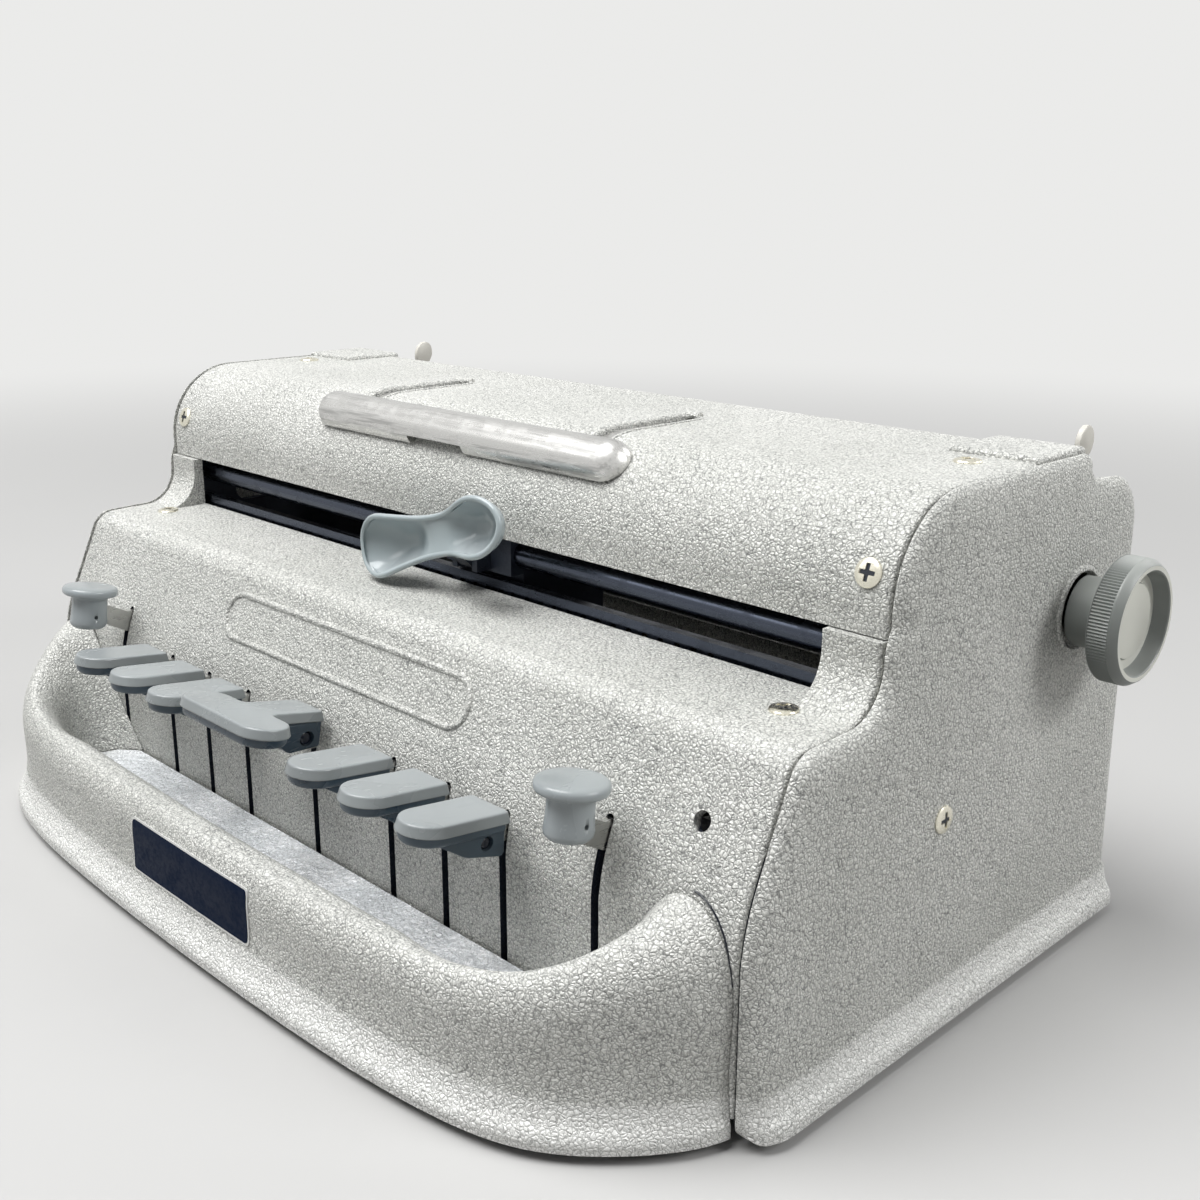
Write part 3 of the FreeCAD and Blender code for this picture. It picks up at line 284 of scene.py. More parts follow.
def metal(name, tint, rough, grain=(1.0, 1.0, 1.0), scratch=0.5, spots=0.3, metallic=1.0, streaks=0.0,
          **sockets):
    """Machined metal with a directional grain, a few scratches and dull spots."""
    s = Shader(name, Metallic=metallic, **sockets)
    where = s.place()
    lines = s.noise(s.stretched(where, grain), 700.0, 3.0, 0.7)
    dull = s.noise(where, 120.0, 4.0, 0.65)
    dark = shade(tint, 0.55)
    colour = s.blend(s.ramp(dull, 0.5, 0.75, 0.0, spots), tint, dark)
    if streaks:
        colour = s.blend(s.ramp(lines, 0.48, 0.66, 0.0, streaks), colour, dark)
    roughness = s.math("ADD", s.ramp(lines, 0.3, 0.7, rough * 0.7, rough * 1.3),
                       s.ramp(dull, 0.45, 0.75, 0.0, 0.15))
    return s.done(colour, roughness, lines, 0.00003, scratch)


def rubber(name, tint):
    """Matt rubber with dust on it."""
    s = Shader(name)
    where = s.place()
    speck = s.noise(where, 800.0, 3.0)
    dust = s.noise(where, 70.0, 4.0, 0.7)
    colour = s.blend(s.ramp(dust, 0.45, 0.75, 0.0, 0.5), tint, shade(tint, 2.0, 0.03))
    return s.done(colour, s.ramp(speck, 0.3, 0.7, 0.65, 0.9), speck, 0.00008, 0.5)


ENAMEL = enamel("wrinkle_enamel")
ENAMEL_APRON = enamel("wrinkle_enamel_worn", worn_with_glints=True)
ENAMEL_SLOTS = enamel("wrinkle_enamel_slotted", slot_shaded=True)
# where a plastic's two tones differ, the second is painted shade on its sides, or painted light on the
# round keys' barrels
CAP = plastic("key_plastic", rgb(0.29, 0.312, 0.318), rgb(0.215, 0.235, 0.238), 0.22)
ROUND_CAP = plastic("round_key_plastic", rgb(0.285, 0.31, 0.315), rgb(0.35, 0.385, 0.40), 0.2)
CAP_UNDER = plastic("key_plastic_under", rgb(0.09, 0.12, 0.145), rgb(0.03, 0.052, 0.074), 0.28)
GRIP = plastic("grip_plastic", rgb(0.42, 0.465, 0.48), rgb(0.35, 0.41, 0.425), 0.06)
KNOB = plastic("knob_plastic", rgb(0.30, 0.315, 0.30), rgb(0.20, 0.215, 0.205), 0.34)
KNOB_FACE = plastic("knob_face", rgb(0.68, 0.685, 0.62), rgb(0.68, 0.685, 0.62), 0.36)
ALUMINIUM = metal("polished_aluminium", rgb(0.67, 0.665, 0.65), 0.27, ACROSS, 1.0, 0.4, streaks=0.75)
NICKEL = metal("nickel_screw", rgb(0.76, 0.73, 0.62), 0.24, scratch=0.4, spots=0.5)
STEEL = metal("plated_steel", rgb(0.55, 0.55, 0.53), 0.32, DEEP, scratch=0.6, spots=0.4)
RECESS_SHADE = metal("screw_recess_shade", rgb(0.05, 0.055, 0.065), 0.38, DEEP, spots=0.4)
BLACK_GLOSS = metal("blackened_screw", rgb(0.004, 0.007, 0.018), 0.12, scratch=0.3, spots=0.1, metallic=0.0)
# painted shade: rails, carriage castings, grip stem and frames are darkened near to black, as the inside
# lies in shade
RAIL = metal("rail_steel_in_painted_shade", rgb(0.07, 0.08, 0.105), 0.22, ACROSS, scratch=0.4)
DARK = metal("casting_in_painted_shade", rgb(0.022, 0.028, 0.042), 0.42, metallic=0.4)
FRAME_SHADE = metal("frame_in_painted_shade", rgb(0.028, 0.034, 0.048), 0.5, scratch=0.6, metallic=0.2)
BRASS = metal("bell_brass", rgb(0.72, 0.52, 0.22), 0.22, (1.0, 1.0, 0.1), spots=0.4)
CREAM = metal("cream_lever", rgb(0.68, 0.66, 0.60), 0.42, scratch=0.4, spots=0.2, metallic=0.0)
FEED_RUBBER = rubber("roller_rubber", rgb(0.05, 0.045, 0.04))
FOOT_RUBBER = rubber("foot_rubber", rgb(0.03, 0.03, 0.03))
DRUM_RUBBER = rubber("drum_surface", rgb(0.10, 0.10, 0.105))
PLATE = metal("black_plate", rgb(0.003, 0.009, 0.027), 0.42, scratch=0.2, spots=0.0, metallic=0.0, IOR=1.12)
PLATE_EDGE = metal("plate_border", rgb(0.74, 0.74, 0.72), 0.35, (0.2, 1.0, 1.0), 0.4, 0.2, 0.3)

# material of each CAD node; {} stands for the number of each dot
FINISHES = (
    (ENAMEL_SLOTS, "front_panel"),
    (ENAMEL, "left_side_panel right_side_panel top_cover rear_panel"),
    (ENAMEL_APRON, "front_apron"),
    (CAP, "space_bar dot_{}_key_cap"),
    (ROUND_CAP, "line_key_cap backspace_key_cap"),
    (STEEL, "dot_{}_lever dot_{}_pin space_lever line_lever backspace_lever key_shaft key_springs"),
    (STEEL, "margin_rail left_margin_stop right_margin_stop drum_shaft ratchet_wheel paper_table"),
    (STEEL, "mainspring_drum bell_clapper release_shaft roller_cradle casing_screws"),
    (RAIL, "carriage_rails escapement_rack"),
    (DARK, "carriage_block embossing_head"),
    (FRAME_SHADE, "side_frames base_plate cross_members"),
    (GRIP, "carriage_lever"),
    (KNOB, "left_knob right_knob"),
    (ALUMINIUM, "handle_bar handle_arms"),
    (DRUM_RUBBER, "paper_drum"),
    (FEED_RUBBER, "feed_rollers"),
    (FOOT_RUBBER, "rubber_feet"),
    (BRASS, "bell"),
    (CREAM, "release_levers"))
for material, names in FINISHES:
    for name in sorted({name.format(n) for name in names.split() for n in DOT_X}):
        slots = NODES[name].data.materials
        slots.clear()
        slots.append(material)


# ---- mesh helpers
def add_object(name, data):
    obj = bpy.data.objects.new(name, data)
    SCENE.collection.objects.link(obj)
    return obj


def make(name, parts, material, body, sharp=35.0, bevel=None):
    """Piece of one or more (vertices, faces) parts, in the drawing's millimetres.

    Edges over sharp degrees stay sharp; bevel is a width and the angle from which edges get it.
    """
    verts, faces = [], []
    for part_verts, part_faces in parts:
        base = len(verts)
        verts += [at(*v) for v in part_verts]
        faces += [[base + i for i in face] for face in part_faces]
    mesh = bpy.data.meshes.new(name)
    mesh.from_pydata(verts, [], faces)
    mesh.validate()
    work = bmesh.new()
    work.from_mesh(mesh)
    bmesh.ops.recalc_face_normals(work, faces=work.faces)
    if bevel:
        width, angle = bevel
        edges = [e for e in work.edges if e.calc_face_angle(0.0) > math.radians(angle)]
        bmesh.ops.bevel(work, geom=edges, offset=width / 1000.0, segments=3, profile=0.5, affect="EDGES",
                        clamp_overlap=True)
    work.to_mesh(mesh)
    work.free()
    mesh.polygons.foreach_set("use_smooth", [True] * len(mesh.polygons))
    mesh.set_sharp_from_angle(angle=math.radians(sharp))
    mesh.materials.append(material)
    piece = add_object(name, mesh)
    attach(piece, body)
    return piece


def loft(rings, ends=True):
    """Skin through rings of equally many points, closed with a face at each end or open."""
    count = len(rings[0])
    verts = [p for ring in rings for p in ring]
    faces = []
    for r in range(len(rings) - 1):
        for i in range(count):
            j = (i + 1) % count
            faces.append([r * count + i, r * count + j, (r + 1) * count + j, (r + 1) * count + i])
    if ends:
        faces.append(list(range(count))[::-1])
        faces.append([(len(rings) - 1) * count + i for i in range(count)])
    return verts, faces


def lathe(profile, origin, axis, steps=64, wave=None):
    """Turned skin: (radius, distance along the axis) pairs from end to end."""
    axis = Vector(axis).normalized()
    side = axis.orthogonal().normalized()
    other = axis.cross(side)
    rings = []
    for level, (radius, along) in enumerate(profile):
        ring = []
        for i, turn in enumerate(around(steps)):
            r = radius - (wave(level, i) if wave else 0.0)
            ring.append(tuple(Vector(origin) + axis * along + side * (r * math.cos(turn))
                              + other * (r * math.sin(turn))))
        rings.append(ring)
    return loft(rings)


def prism(x0, x1, outline):
    """Plate with a (y, z) outline from x0 to x1."""
    return loft([[(x, y, z) for y, z in outline] for x in (x0, x1)])


def bead(name, spots, radius, material):
    """Half-sunk round bead along a line of points of the casing."""
    rings = []
    for i, spot in enumerate(spots):
        before, after = spots[max(i - 1, 0)], spots[min(i + 1, len(spots) - 1)]
        along = (Vector(after) - Vector(before)).normalized()
        up = (Vector((0, 0, 1)) - along * along.z).normalized()
        across = along.cross(up)
        rings.append([tuple(Vector(spot) + across * (radius * math.cos(a))
                            + up * (radius * 0.8 * math.sin(a))) for a in around(10)])
    make(name, [loft(rings)], material, "casing", 60)


def face_tree(node):
    """Faces of a CAD node, for rays to hit."""
    mesh = NODES[node].data
    verts = [v.co.copy() for v in mesh.vertices]
    return BVHTree.FromPolygons(verts, [tuple(p.vertices) for p in mesh.polygons])


DOWN = Vector((0, 0, -1))
REARWARD = Vector((0, 1, 0))

# ---- screws
SCREW_SEATS = (  # right-hand half: place and direction
    ((155.0, 38.0, SHELF_Z + 0.33), (0, -0.7, 32.0)),  # shelf
    ((166.3, 54.72, 129.02), (0, -0.952, 0.305)),  # front end of the cover
    ((158.6, 110.0, TOP_Z), (0, 0, 1)),  # top of the cover
    ((179.23, 76.6, 60.3), (1, 0, 0.021)),  # side panel
    ((157.0, 34.0, 1.5), (0, 0, -1)),  # base plate
    ((157.0, 87.0, 1.5), (0, 0, -1)),
    ((157.0, 140.0, 1.5), (0, 0, -1)))
SCREW_RADIUS, SCREW_HEIGHT = 3.9, 0.95


def cross_screw(point, normal):
    """Pan head with a cross recess, seated at a point of a wall: the head, and a recess lining that is
    painted shade.
    """
    normal = Vector(normal).normalized()
    side = Vector((1, 0, 0)) if abs(normal.x) < 0.9 else Vector((0, 1, 0))
    side = (side - normal * side.dot(normal)).normalized()
    other = normal.cross(side)
    steps = 48
    arm, wide = SCREW_RADIUS * 0.6, SCREW_RADIUS * 0.15
    corner = wide * 1.15

    def cross(i, scale, depth):
        """Point of the recess's rim, which has four arms."""
        quarter, step = divmod(i, steps // 4)
        part = step / (steps // 4)
        if part < 1 / 6:
            p = (arm * scale, wide * scale * part * 6)
        elif part < 0.5:
            p = (arm * scale + (corner - arm * scale) * (part - 1 / 6) * 3, wide * scale)
        elif part < 5 / 6:
            p = (wide * scale, corner + (arm * scale - corner) * (part - 0.5) * 3)
        else:
            p = (wide * scale * (1 - part) * 6, arm * scale)
        c, s = ((1, 0), (0, 1), (-1, 0), (0, -1))[quarter]
        return (p[0] * c - p[1] * s, p[0] * s + p[1] * c, SCREW_HEIGHT - depth)

    def crosses(*levels):
        return [[cross(i, scale, depth) for i in range(steps)] for scale, depth in levels]

    def seated(rings):
        verts, faces = loft(rings)
        return [tuple(Vector(point) + side * v[0] + other * v[1] + normal * v[2]) for v in verts], faces

    dome = []
    for share, rise in ((1.0, 0.0), (1.0, 0.35), (0.94, 0.66), (0.78, 0.88), (0.62, 1.0)):
        r, h = SCREW_RADIUS * share, SCREW_HEIGHT * rise
        dome.append([(r * math.cos(turn), r * math.sin(turn), h) for turn in around(steps)])
    head = dome + crosses((1.0, 0.0), (0.94, 0.3), (0.6, 1.9))
    return seated(head), seated(crosses((0.6, 1.8), (0.9, 0.42), (0.87, 0.36)))


screws = [cross_screw((side * x, y, z), (side * nx, ny, nz))
          for side in (-1, 1) for (x, y, z), (nx, ny, nz) in SCREW_SEATS]
heads = make("cross_screws", [head for head, lining in screws], NICKEL, "casing", 30)
# painted shade: the cross recesses are lined near-black, as shade falls in them
make("screw_recesses", [lining for head, lining in screws], RECESS_SHADE, "casing", 30)
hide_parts("casing_screws")

# ---- key caps
PAD_HALF = 8.4
PAD_REAR, PAD_FRONT = -3.0, -33.4
PAD_CORNER = 1.2
PAD_Z = 61.8
PAD_TILT = math.radians(7.5)
BAR_HALF = 23.9
BAR_FRONT, BAR_BACK = -34.6, -18.2  # the wide bar, without its neck
NECK_HALF, NECK_REAR = 8.2, 0.9
NECK_FILLET, NECK_CORNER = 2.6, 1.2
SPACE_Z = PAD_Z + 2.8
SPACE_TILT = math.radians(11.7)
# (inset, height) pairs of a cap's skin, from its top over its rim to its foot
PAD_LEVELS = ((2.6, 0.0), (1.9, 0.0), (1.25, -0.02), (0.92, -0.12), (0.7, -0.36), (0.6, -0.7),
              (0.2, -2.3), (0.05, -2.75), (0.0, -3.0), (0.12, -3.2), (0.5, -3.3), (1.25, -3.3), (2.6, -3.3))
TIER_LEVELS = ((2.0, -3.0), (0.9, -3.0), (0.9, -4.6), (1.1, -5.4), (1.7, -6.0), (2.6, -6.15), (3.4, -6.15))
# (y, z) outlines of the blocks below the caps
FINGER_BLOCK = ((-3.5, 57.2), (-3.5, 49.0), (-4.2, 48.3), (-5.4, 48.3), (-15.6, 51.4), (-17.2, 52.2),
                (-25.8, 58.3), (-26.4, 59.8), (-9.0, 57.8))
SPACE_BLOCK = ((-0.9, 60.9), (-1.7, 53.4), (-2.4, 52.7), (-12.2, 53.1), (-13.5, 53.8), (-18.2, 58.8),
               (-19.2, 63.0), (-9.0, 61.9))
FINGER_SCREW, SPACE_SCREW = (-9.6, 53.6), (-6.3, 56.4)
SMALL_BEVEL = (0.35, 50)


def pad_ring(inset, steps=14):
    """Finger-pad outline: square at the rear with small corners, round at the front."""
    half, rear, front = PAD_HALF - inset, PAD_REAR - inset, PAD_FRONT + inset
    corner = max(PAD_CORNER - inset * 0.3, 0.3)
    ring = []
    for i in range(steps + 1):
        turn = math.pi * i / steps
        ring.append((half * math.cos(turn), front + half - half * math.sin(turn)))
    for middle, start in ((-half + corner, math.pi), (half - corner, math.pi / 2)):
        for i in range(5):
            turn = start - math.pi / 2 * i / 4
            ring.append((middle + corner * math.cos(turn), rear - corner + corner * math.sin(turn)))
    return ring


def bar_ring(inset, steps=10):
    """Space-bar outline: a wide bar with round ends in front and a neck to the rear."""
    half, low, high = BAR_HALF - inset, BAR_FRONT + inset, BAR_BACK - inset
    radius = (high - low) / 2
    neck, rear = NECK_HALF - inset, NECK_REAR - inset

    def end(middle, start):
        turns = [start - math.pi * i / steps for i in range(steps + 1)]
        return [(middle + radius * math.cos(t), low + radius + radius * math.sin(t)) for t in turns]

    ring = end(-half + radius, -math.pi / 2)
    for side in (-1, 1):
        inner = [(side * (neck + NECK_FILLET * (1 - math.sin(a))), high + NECK_FILLET * (1 - math.cos(a)))
                 for a in (0.0, 0.52, 1.05, 1.57)]
        outer = [(side * (neck - NECK_CORNER + NECK_CORNER * math.cos(a)),
                  rear - NECK_CORNER + NECK_CORNER * math.sin(a)) for a in (0.0, 0.8, 1.57)]
        ring += inner + outer if side < 0 else outer[::-1] + inner[::-1]
    return ring + end(half - radius, math.pi / 2)


def pad_skin(levels, ring_at, x, height, tilt):
    """Stacked rings of a cap, tilted about its rear edge and raised to its place."""
    rings = []
    for inset, z in levels:
        ring = []
        for px, py in ring_at(inset):
            dy = py - PAD_REAR
            ring.append((x + px, PAD_REAR + dy * math.cos(tilt) + z * math.sin(tilt),
                         height - dy * math.sin(tilt) + z * math.cos(tilt)))
        rings.append(ring)
    return loft(rings)


def wedge(x, half, outline):
    """Block under a cap, a little narrower towards its foot."""
    low = min(z for y, z in outline)
    high = max(z for y, z in outline)
    return loft([[(x + side * half * (0.86 + 0.14 * (z - low) / (high - low)), y, z) for y, z in outline]
                 for side in (-1, 1)])


def slot_screw(point, radius):
    """Domed screw head in the side of a key block."""
    profile = [(radius, -0.8), (radius, 0.0), (radius * 0.92, 0.25), (radius * 0.7, 0.5),
               (radius * 0.35, 0.66), (0.05, 0.7)]
    return lathe(profile, point, (1, 0, 0), 32)


def punched(obj, centre, radius, depth):
    """Cut a round hole across x into a piece: centre on its surface, in millimetres."""
    verts, faces = lathe([(radius, -depth), (radius, depth)], centre, (1, 0, 0), 32)
    mesh = bpy.data.meshes.new("punch")
    mesh.from_pydata([at(*v) for v in verts], [], faces)
    tool = add_object("punch", mesh)
    modifier = obj.modifiers.new("punch", "BOOLEAN")
    modifier.operation = "DIFFERENCE"
    modifier.solver = "EXACT"
    modifier.object = tool
    graph = bpy.context.evaluated_depsgraph_get()
    done = bpy.data.meshes.new_from_object(obj.evaluated_get(graph))
    obj.modifiers.clear()
    obj.data = done
    bpy.data.objects.remove(tool)


def pad_key(name, under, node, body, pad, block, hole, screw):
    """Cap of a key, and under it the inset tier and the block that holds the lever.

    under starts the lower pieces' names; pad, hole and screw are what pad_skin, punched and
    slot_screw take after their first argument.
    """
    cap = make(name, [pad_skin(PAD_LEVELS, *pad)], CAP, body, 42)
    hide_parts(node)
    make(under + "_tier", [pad_skin(TIER_LEVELS, *pad)], CAP_UNDER, body, 42)
    solid = make(under + "_block", [block], CAP_UNDER, body, 42, SMALL_BEVEL)
    punched(solid, *hole)
    make(under + "_screw", [slot_screw(*screw)], BLACK_GLOSS, body)


for number, x in DOT_X.items():
    name = "dot_%d_cap" % number
    pad_key(name, name, "dot_%d_key_cap" % number, "dot_%d_key" % number,
            pad=(pad_ring, x, PAD_Z, PAD_TILT), block=wedge(x, 5.6, FINGER_BLOCK),
            hole=((x + 5.5, *FINGER_SCREW), 2.1, 1.9), screw=((x + 4.2, *FINGER_SCREW), 1.75))
pad_key("space_cap", "space", "space_bar", "space_key",
        pad=(bar_ring, 0.0, SPACE_Z, SPACE_TILT), block=wedge(0.0, 7.8, SPACE_BLOCK),
        hole=((7.4, *SPACE_SCREW), 2.5, 2.0), screw=((5.9, *SPACE_SCREW), 2.15))

# (radius, height) pairs of a round key, from its crown over the disc and down its barrel
ROUND_PROFILE = ((0.3, 0.25), (5.0, 0.2), (7.6, 0.05), (8.9, -0.2), (9.5, -0.65), (9.7, -1.3), (9.7, -2.2),
                 (9.45, -2.85), (8.9, -3.2), (7.0, -3.3), (6.5, -3.7), (6.25, -5.0), (6.15, -8.0),
                 (6.3, -11.0), (6.55, -13.2), (6.3, -14.3), (5.4, -15.2), (3.8, -15.5), (0.3, -15.5))


def round_key(name, x, node, body, shift, lean):
    """Round outer key, moved by (y, z) and leaning back, with a pin hole in its side."""
    axis = Vector((0, math.sin(math.radians(lean)), math.cos(math.radians(lean))))
    top = Vector((x, -9.7 + shift[0], 72.2 + shift[1])) + axis * 7.8
    cap = make(name, [lathe(ROUND_PROFILE, top, axis, 72)], ROUND_CAP, body, 60)
    punched(cap, tuple(top - axis * 10.6 + Vector((6.3, -0.2, 0))), 0.7, 2.5)
    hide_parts(node)


round_key("line_cap", -OUTER_KEY_X, "line_key_cap", "line_key", (-1.2, -1.3), 9.0)
round_key("backspace_cap", OUTER_KEY_X, "backspace_key_cap", "backspace_key", (1.3, 1.3), 6.0)

# ---- grip of the carriage
GRIP_RIGHT = (36.0, 2.0, 10.6)  # length, squareness of the end and half width of a dish
GRIP_LEFT = (38.0, 2.3, 11.4)
WAIST = 7.0
GRIP_TILT, GRIP_ROLL = math.radians(85.0), math.radians(16.7)
GRIP_SPOT = (15.0, 41.0, 114.0)
GRIP_BEAD, GRIP_THICK = 1.0, 2.0  # radius of the rolled rim, and the wall
STEM_OUTLINE = ((56.0, 102.6), (55.9, 105.8), (53.0, 106.6), (46.0, 116.5), (42.2, 117.0), (42.0, 111.0),
                (44.5, 109.2), (51.6, 102.2), (53.6, 101.4))


def grip_place(u, v, h):
    """Point of the grip's own plane, tilted to the front and rolled up to the right."""
    y = v * math.cos(GRIP_TILT) - h * math.sin(GRIP_TILT)
    z = v * math.sin(GRIP_TILT) + h * math.cos(GRIP_TILT)
    return (GRIP_SPOT[0] + u * math.cos(GRIP_ROLL) - z * math.sin(GRIP_ROLL), GRIP_SPOT[1] + y,
            GRIP_SPOT[2] + u * math.sin(GRIP_ROLL) + z * math.cos(GRIP_ROLL))


def grip_rim(turn):
    """Rim of the grip at an angle: (u, v, height, u of the spine's nearest point)."""
    length, square, lobe = GRIP_RIGHT if math.cos(turn) > 0 else GRIP_LEFT
    u = length * math.cos(turn)
    share = min(abs(u) / length, 1.0)
    cap = max(1 - max((share - 0.56) / 0.44, 0.0) ** square, 0.0) ** (1 / square)
    v = math.copysign((WAIST + (lobe - WAIST) * smooth((share - 0.04) / 0.82)) * cap, math.sin(turn))
    height = -2.8 * share ** 2.36 + 1.5 + 6.1 * smooth(share / 0.7)
    spine = max(min(u, 0.5 * length), -0.5 * length)
    return u, v, height, spine


def grip_bowl(rim, rho, below):
    """Point of a bowl at a share of the way from its spine to its rim."""
    u, v, height, spine = rim
    deep = -3.6 * smooth((abs(spine) - 4.0) / 12.0)
    return grip_place(spine + (u - spine) * rho, v * rho,
                      deep * (1 - rho ** 2) + (height - 0.4) * rho ** 2.2 - below)


def build_grip():
    """Two finger dishes with a rolled rim and a waist, on a hinged stem."""
    steps = 120
    rims = [grip_rim(2 * math.pi * (i + 0.5) / steps) for i in range(steps)]
    outward = []
    for i in range(steps):
        before, after = rims[i - 1], rims[(i + 1) % steps]
        du, dv = after[0] - before[0], after[1] - before[1]
        size = math.hypot(du, dv)
        outward.append((dv / size, -du / size))

    rings = [[grip_bowl(rim, rho, 0.0) for rim in rims] for rho in (0.0, 0.2, 0.4, 0.6, 0.75, 0.87, 0.95)]
    for angle in (150, 115, 80, 40, 0, -40, -80, -120):
        reach = GRIP_BEAD * math.cos(math.radians(angle)) - GRIP_BEAD
        rise = GRIP_BEAD * math.sin(math.radians(angle))
        rings.append([grip_place(rim[0] + ou * reach, rim[1] + ov * reach, rim[2] - GRIP_BEAD + rise)
                      for rim, (ou, ov) in zip(rims, outward)])
    rings += [[grip_bowl(rim, rho, GRIP_THICK) for rim in rims] for rho in (0.85, 0.7, 0.5, 0.25, 0.0)]

    x = GRIP_SPOT[0]
    hinge = lathe([(1.5, -6.2), (1.5, 6.2)], (x, *GRIP_HINGE), (1, 0, 0), 20)
    make("grip_stem", [prism(x - 3.5, x + 3.5, STEM_OUTLINE), hinge], DARK, "carriage_grip",
         50)
    grip = make("finger_grip", [loft(rings, ends=False)], GRIP, "carriage_grip", 50)
    work = bmesh.new()
    work.from_mesh(grip.data)
    bmesh.ops.remove_doubles(work, verts=work.verts, dist=0.00002)
    bmesh.ops.recalc_face_normals(work, faces=work.faces)
    work.to_mesh(grip.data)
    work.free()
    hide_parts("carriage_lever")


build_grip()

# ---- knobs
KNOB_TEETH = 118
KNOB_DISC_X = 0.192  # faces farther out than this, in metres, are the pale disc
# (radius, x) pairs, from the shaft over the knurled band to the disc in its recess
KNOB_PROFILE = ((5.0, 178.9), (9.9, 178.9), (10.3, 179.3), (10.3, 188.6), (10.7, 189.1), (17.3, 189.1),
                (17.9, 189.3), (18.2, 189.7), (18.2, 189.8), (18.2, 195.3), (18.2, 195.4), (18.15, 195.8),
                (17.9, 196.3), (16.9, 197.7), (16.5, 198.0), (15.3, 198.0), (15.0, 197.7), (14.3, 193.9),
                (14.0, 193.5), (11.4, 193.4), (11.1, 193.6), (10.8, 194.1), (10.4, 194.2), (0.3, 194.3))
KNURLED_LEVELS = (8, 9)


def knob(name, side, node):
    """Turned knob with a knurled band, a plain chamfer and a raised disc in a deep recess."""
    def knurl(level, i):
        return 0.42 * (i % 2) if level in KNURLED_LEVELS else 0.0

    points = [(r, side * x) for r, x in KNOB_PROFILE]
    skin = lathe(points, (0, *DRUM_AXIS), (1, 0, 0), KNOB_TEETH * 2, knurl)
    piece = make(name, [skin], KNOB, "platen", 28)
    piece.data.materials.append(KNOB_FACE)
    for face in piece.data.polygons:
        face.material_index = int(face.normal.x * side > 0.8 and face.center.x * side > KNOB_DISC_X)
    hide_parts(node)


knob("knob_right", 1, "right_knob")
knob("knob_left", -1, "left_knob")

# ---- side panels
SEAM = 174.7  # x of the joint between a side panel and the casing
EDGE_WIDTH = 11.0  # reach of the softened edge
PANEL_REAR = 179.2
FOOT_CORNER = 4.0
FOOT_Z = 13.0  # top of the flared foot
SOCKET_R = 11.8  # sunk face round the knob's shaft
# the panel's edge, upwards from its lower front corner: (a point of an arc or None, end, steps)
EDGE_RUNS = (
    (None, (0, 46), 28),
    ((1.6, 55.5), (5.2, 66.0), 14),
    (None, (15.2, 88.2), 16),
    ((18.0, 92.3), (23.0, 94.3), 8),
    (None, (37.0, 94.6), 8),
    ((47.4, 98.6), (51.2, 108.0), 14),
    ((51.7, 112.5), (53.4, 116.8), 5),
    (None, (53.4, 120.6), 3),
    ((61.48, 140.12), (81.0, 148.2), 28),
    (None, (144.5, 148.2), 30),
    ((147.0, 147.2), (148.2, 145.0), 4),
    ((150.2, 141.2), (154.5, 140.0), 5),
    (None, (163.5, 139.2), 5),
    ((174.2, 134.6), (178.6, 124.0), 14),
    (None, (179.0, 0.0), 60))
# height and outer x of the flared foot
FOOT_PROFILE = ((0.0, 183.8), (2.4, 183.8), (3.2, 183.64), (4.0, 183.36), (4.7, 182.92), (5.4, 182.3),
                (6.3, 181.75), (7.4, 181.27), (8.6, 180.9), (10.2, 180.55), (11.6, 180.35), (FOOT_Z, 180.2))
# (radius, height) pairs of the raised ring round the knob's shaft
RING_PROFILE = ((11.3, 0.0), (11.3, 1.7), (11.6, 2.1), (12.4, 2.1), (12.8, 1.8), (13.1, 1.2), (13.4, 0.0))


def arc(a, b, c, count):
    """Points from a to c on the circle through a, b and c, without a."""
    ax, ay, bx, by, cx, cy = *a, *b, *c
    aa, bb, cc = ax * ax + ay * ay, bx * bx + by * by, cx * cx + cy * cy
    d = 2 * (ax * (by - cy) + bx * (cy - ay) + cx * (ay - by))
    ux = (aa * (by - cy) + bb * (cy - ay) + cc * (ay - by)) / d
    uy = (aa * (cx - bx) + bb * (ax - cx) + cc * (bx - ax)) / d
    first = math.atan2(ay - uy, ax - ux)
    last = math.atan2(cy - uy, cx - ux)
    middle = math.atan2(by - uy, bx - ux)
    turn = (last - first) % (2 * math.pi)
    if (middle - first) % (2 * math.pi) > turn:
        turn -= 2 * math.pi
    radius = math.hypot(ax - ux, ay - uy)
    angles = [first + turn * i / count for i in range(1, count + 1)]
    return [(ux + radius * math.cos(angle), uy + radius * math.sin(angle)) for angle in angles]


def line(a, b, count):
    """Points from a to b, without a."""
    return [(a[0] + (b[0] - a[0]) * i / count, a[1] + (b[1] - a[1]) * i / count)
            for i in range(1, count + 1)]


def side_edge():
    """Edge of a side panel as (y, z) points: seam profile, cover curve, rear step, rear edge."""
    low, start = (FOOT_CORNER, 0.0), (0.0, FOOT_CORNER)
    middle = FOOT_CORNER * 0.293  # y and z halfway round the corner
    edge = [low] + arc(low, (middle, middle), start, 8)
    for through, end, count in EDGE_RUNS:
        edge += arc(start, through, end, count) if through else line(start, end, count)
        start = end
    return edge


def round_off(distance, radius, power=2):
    """Height, as a share, of a rounded end at a distance from it."""
    return math.sqrt(max(1 - max(1 - distance / radius, 0.0) ** power, 0.0))


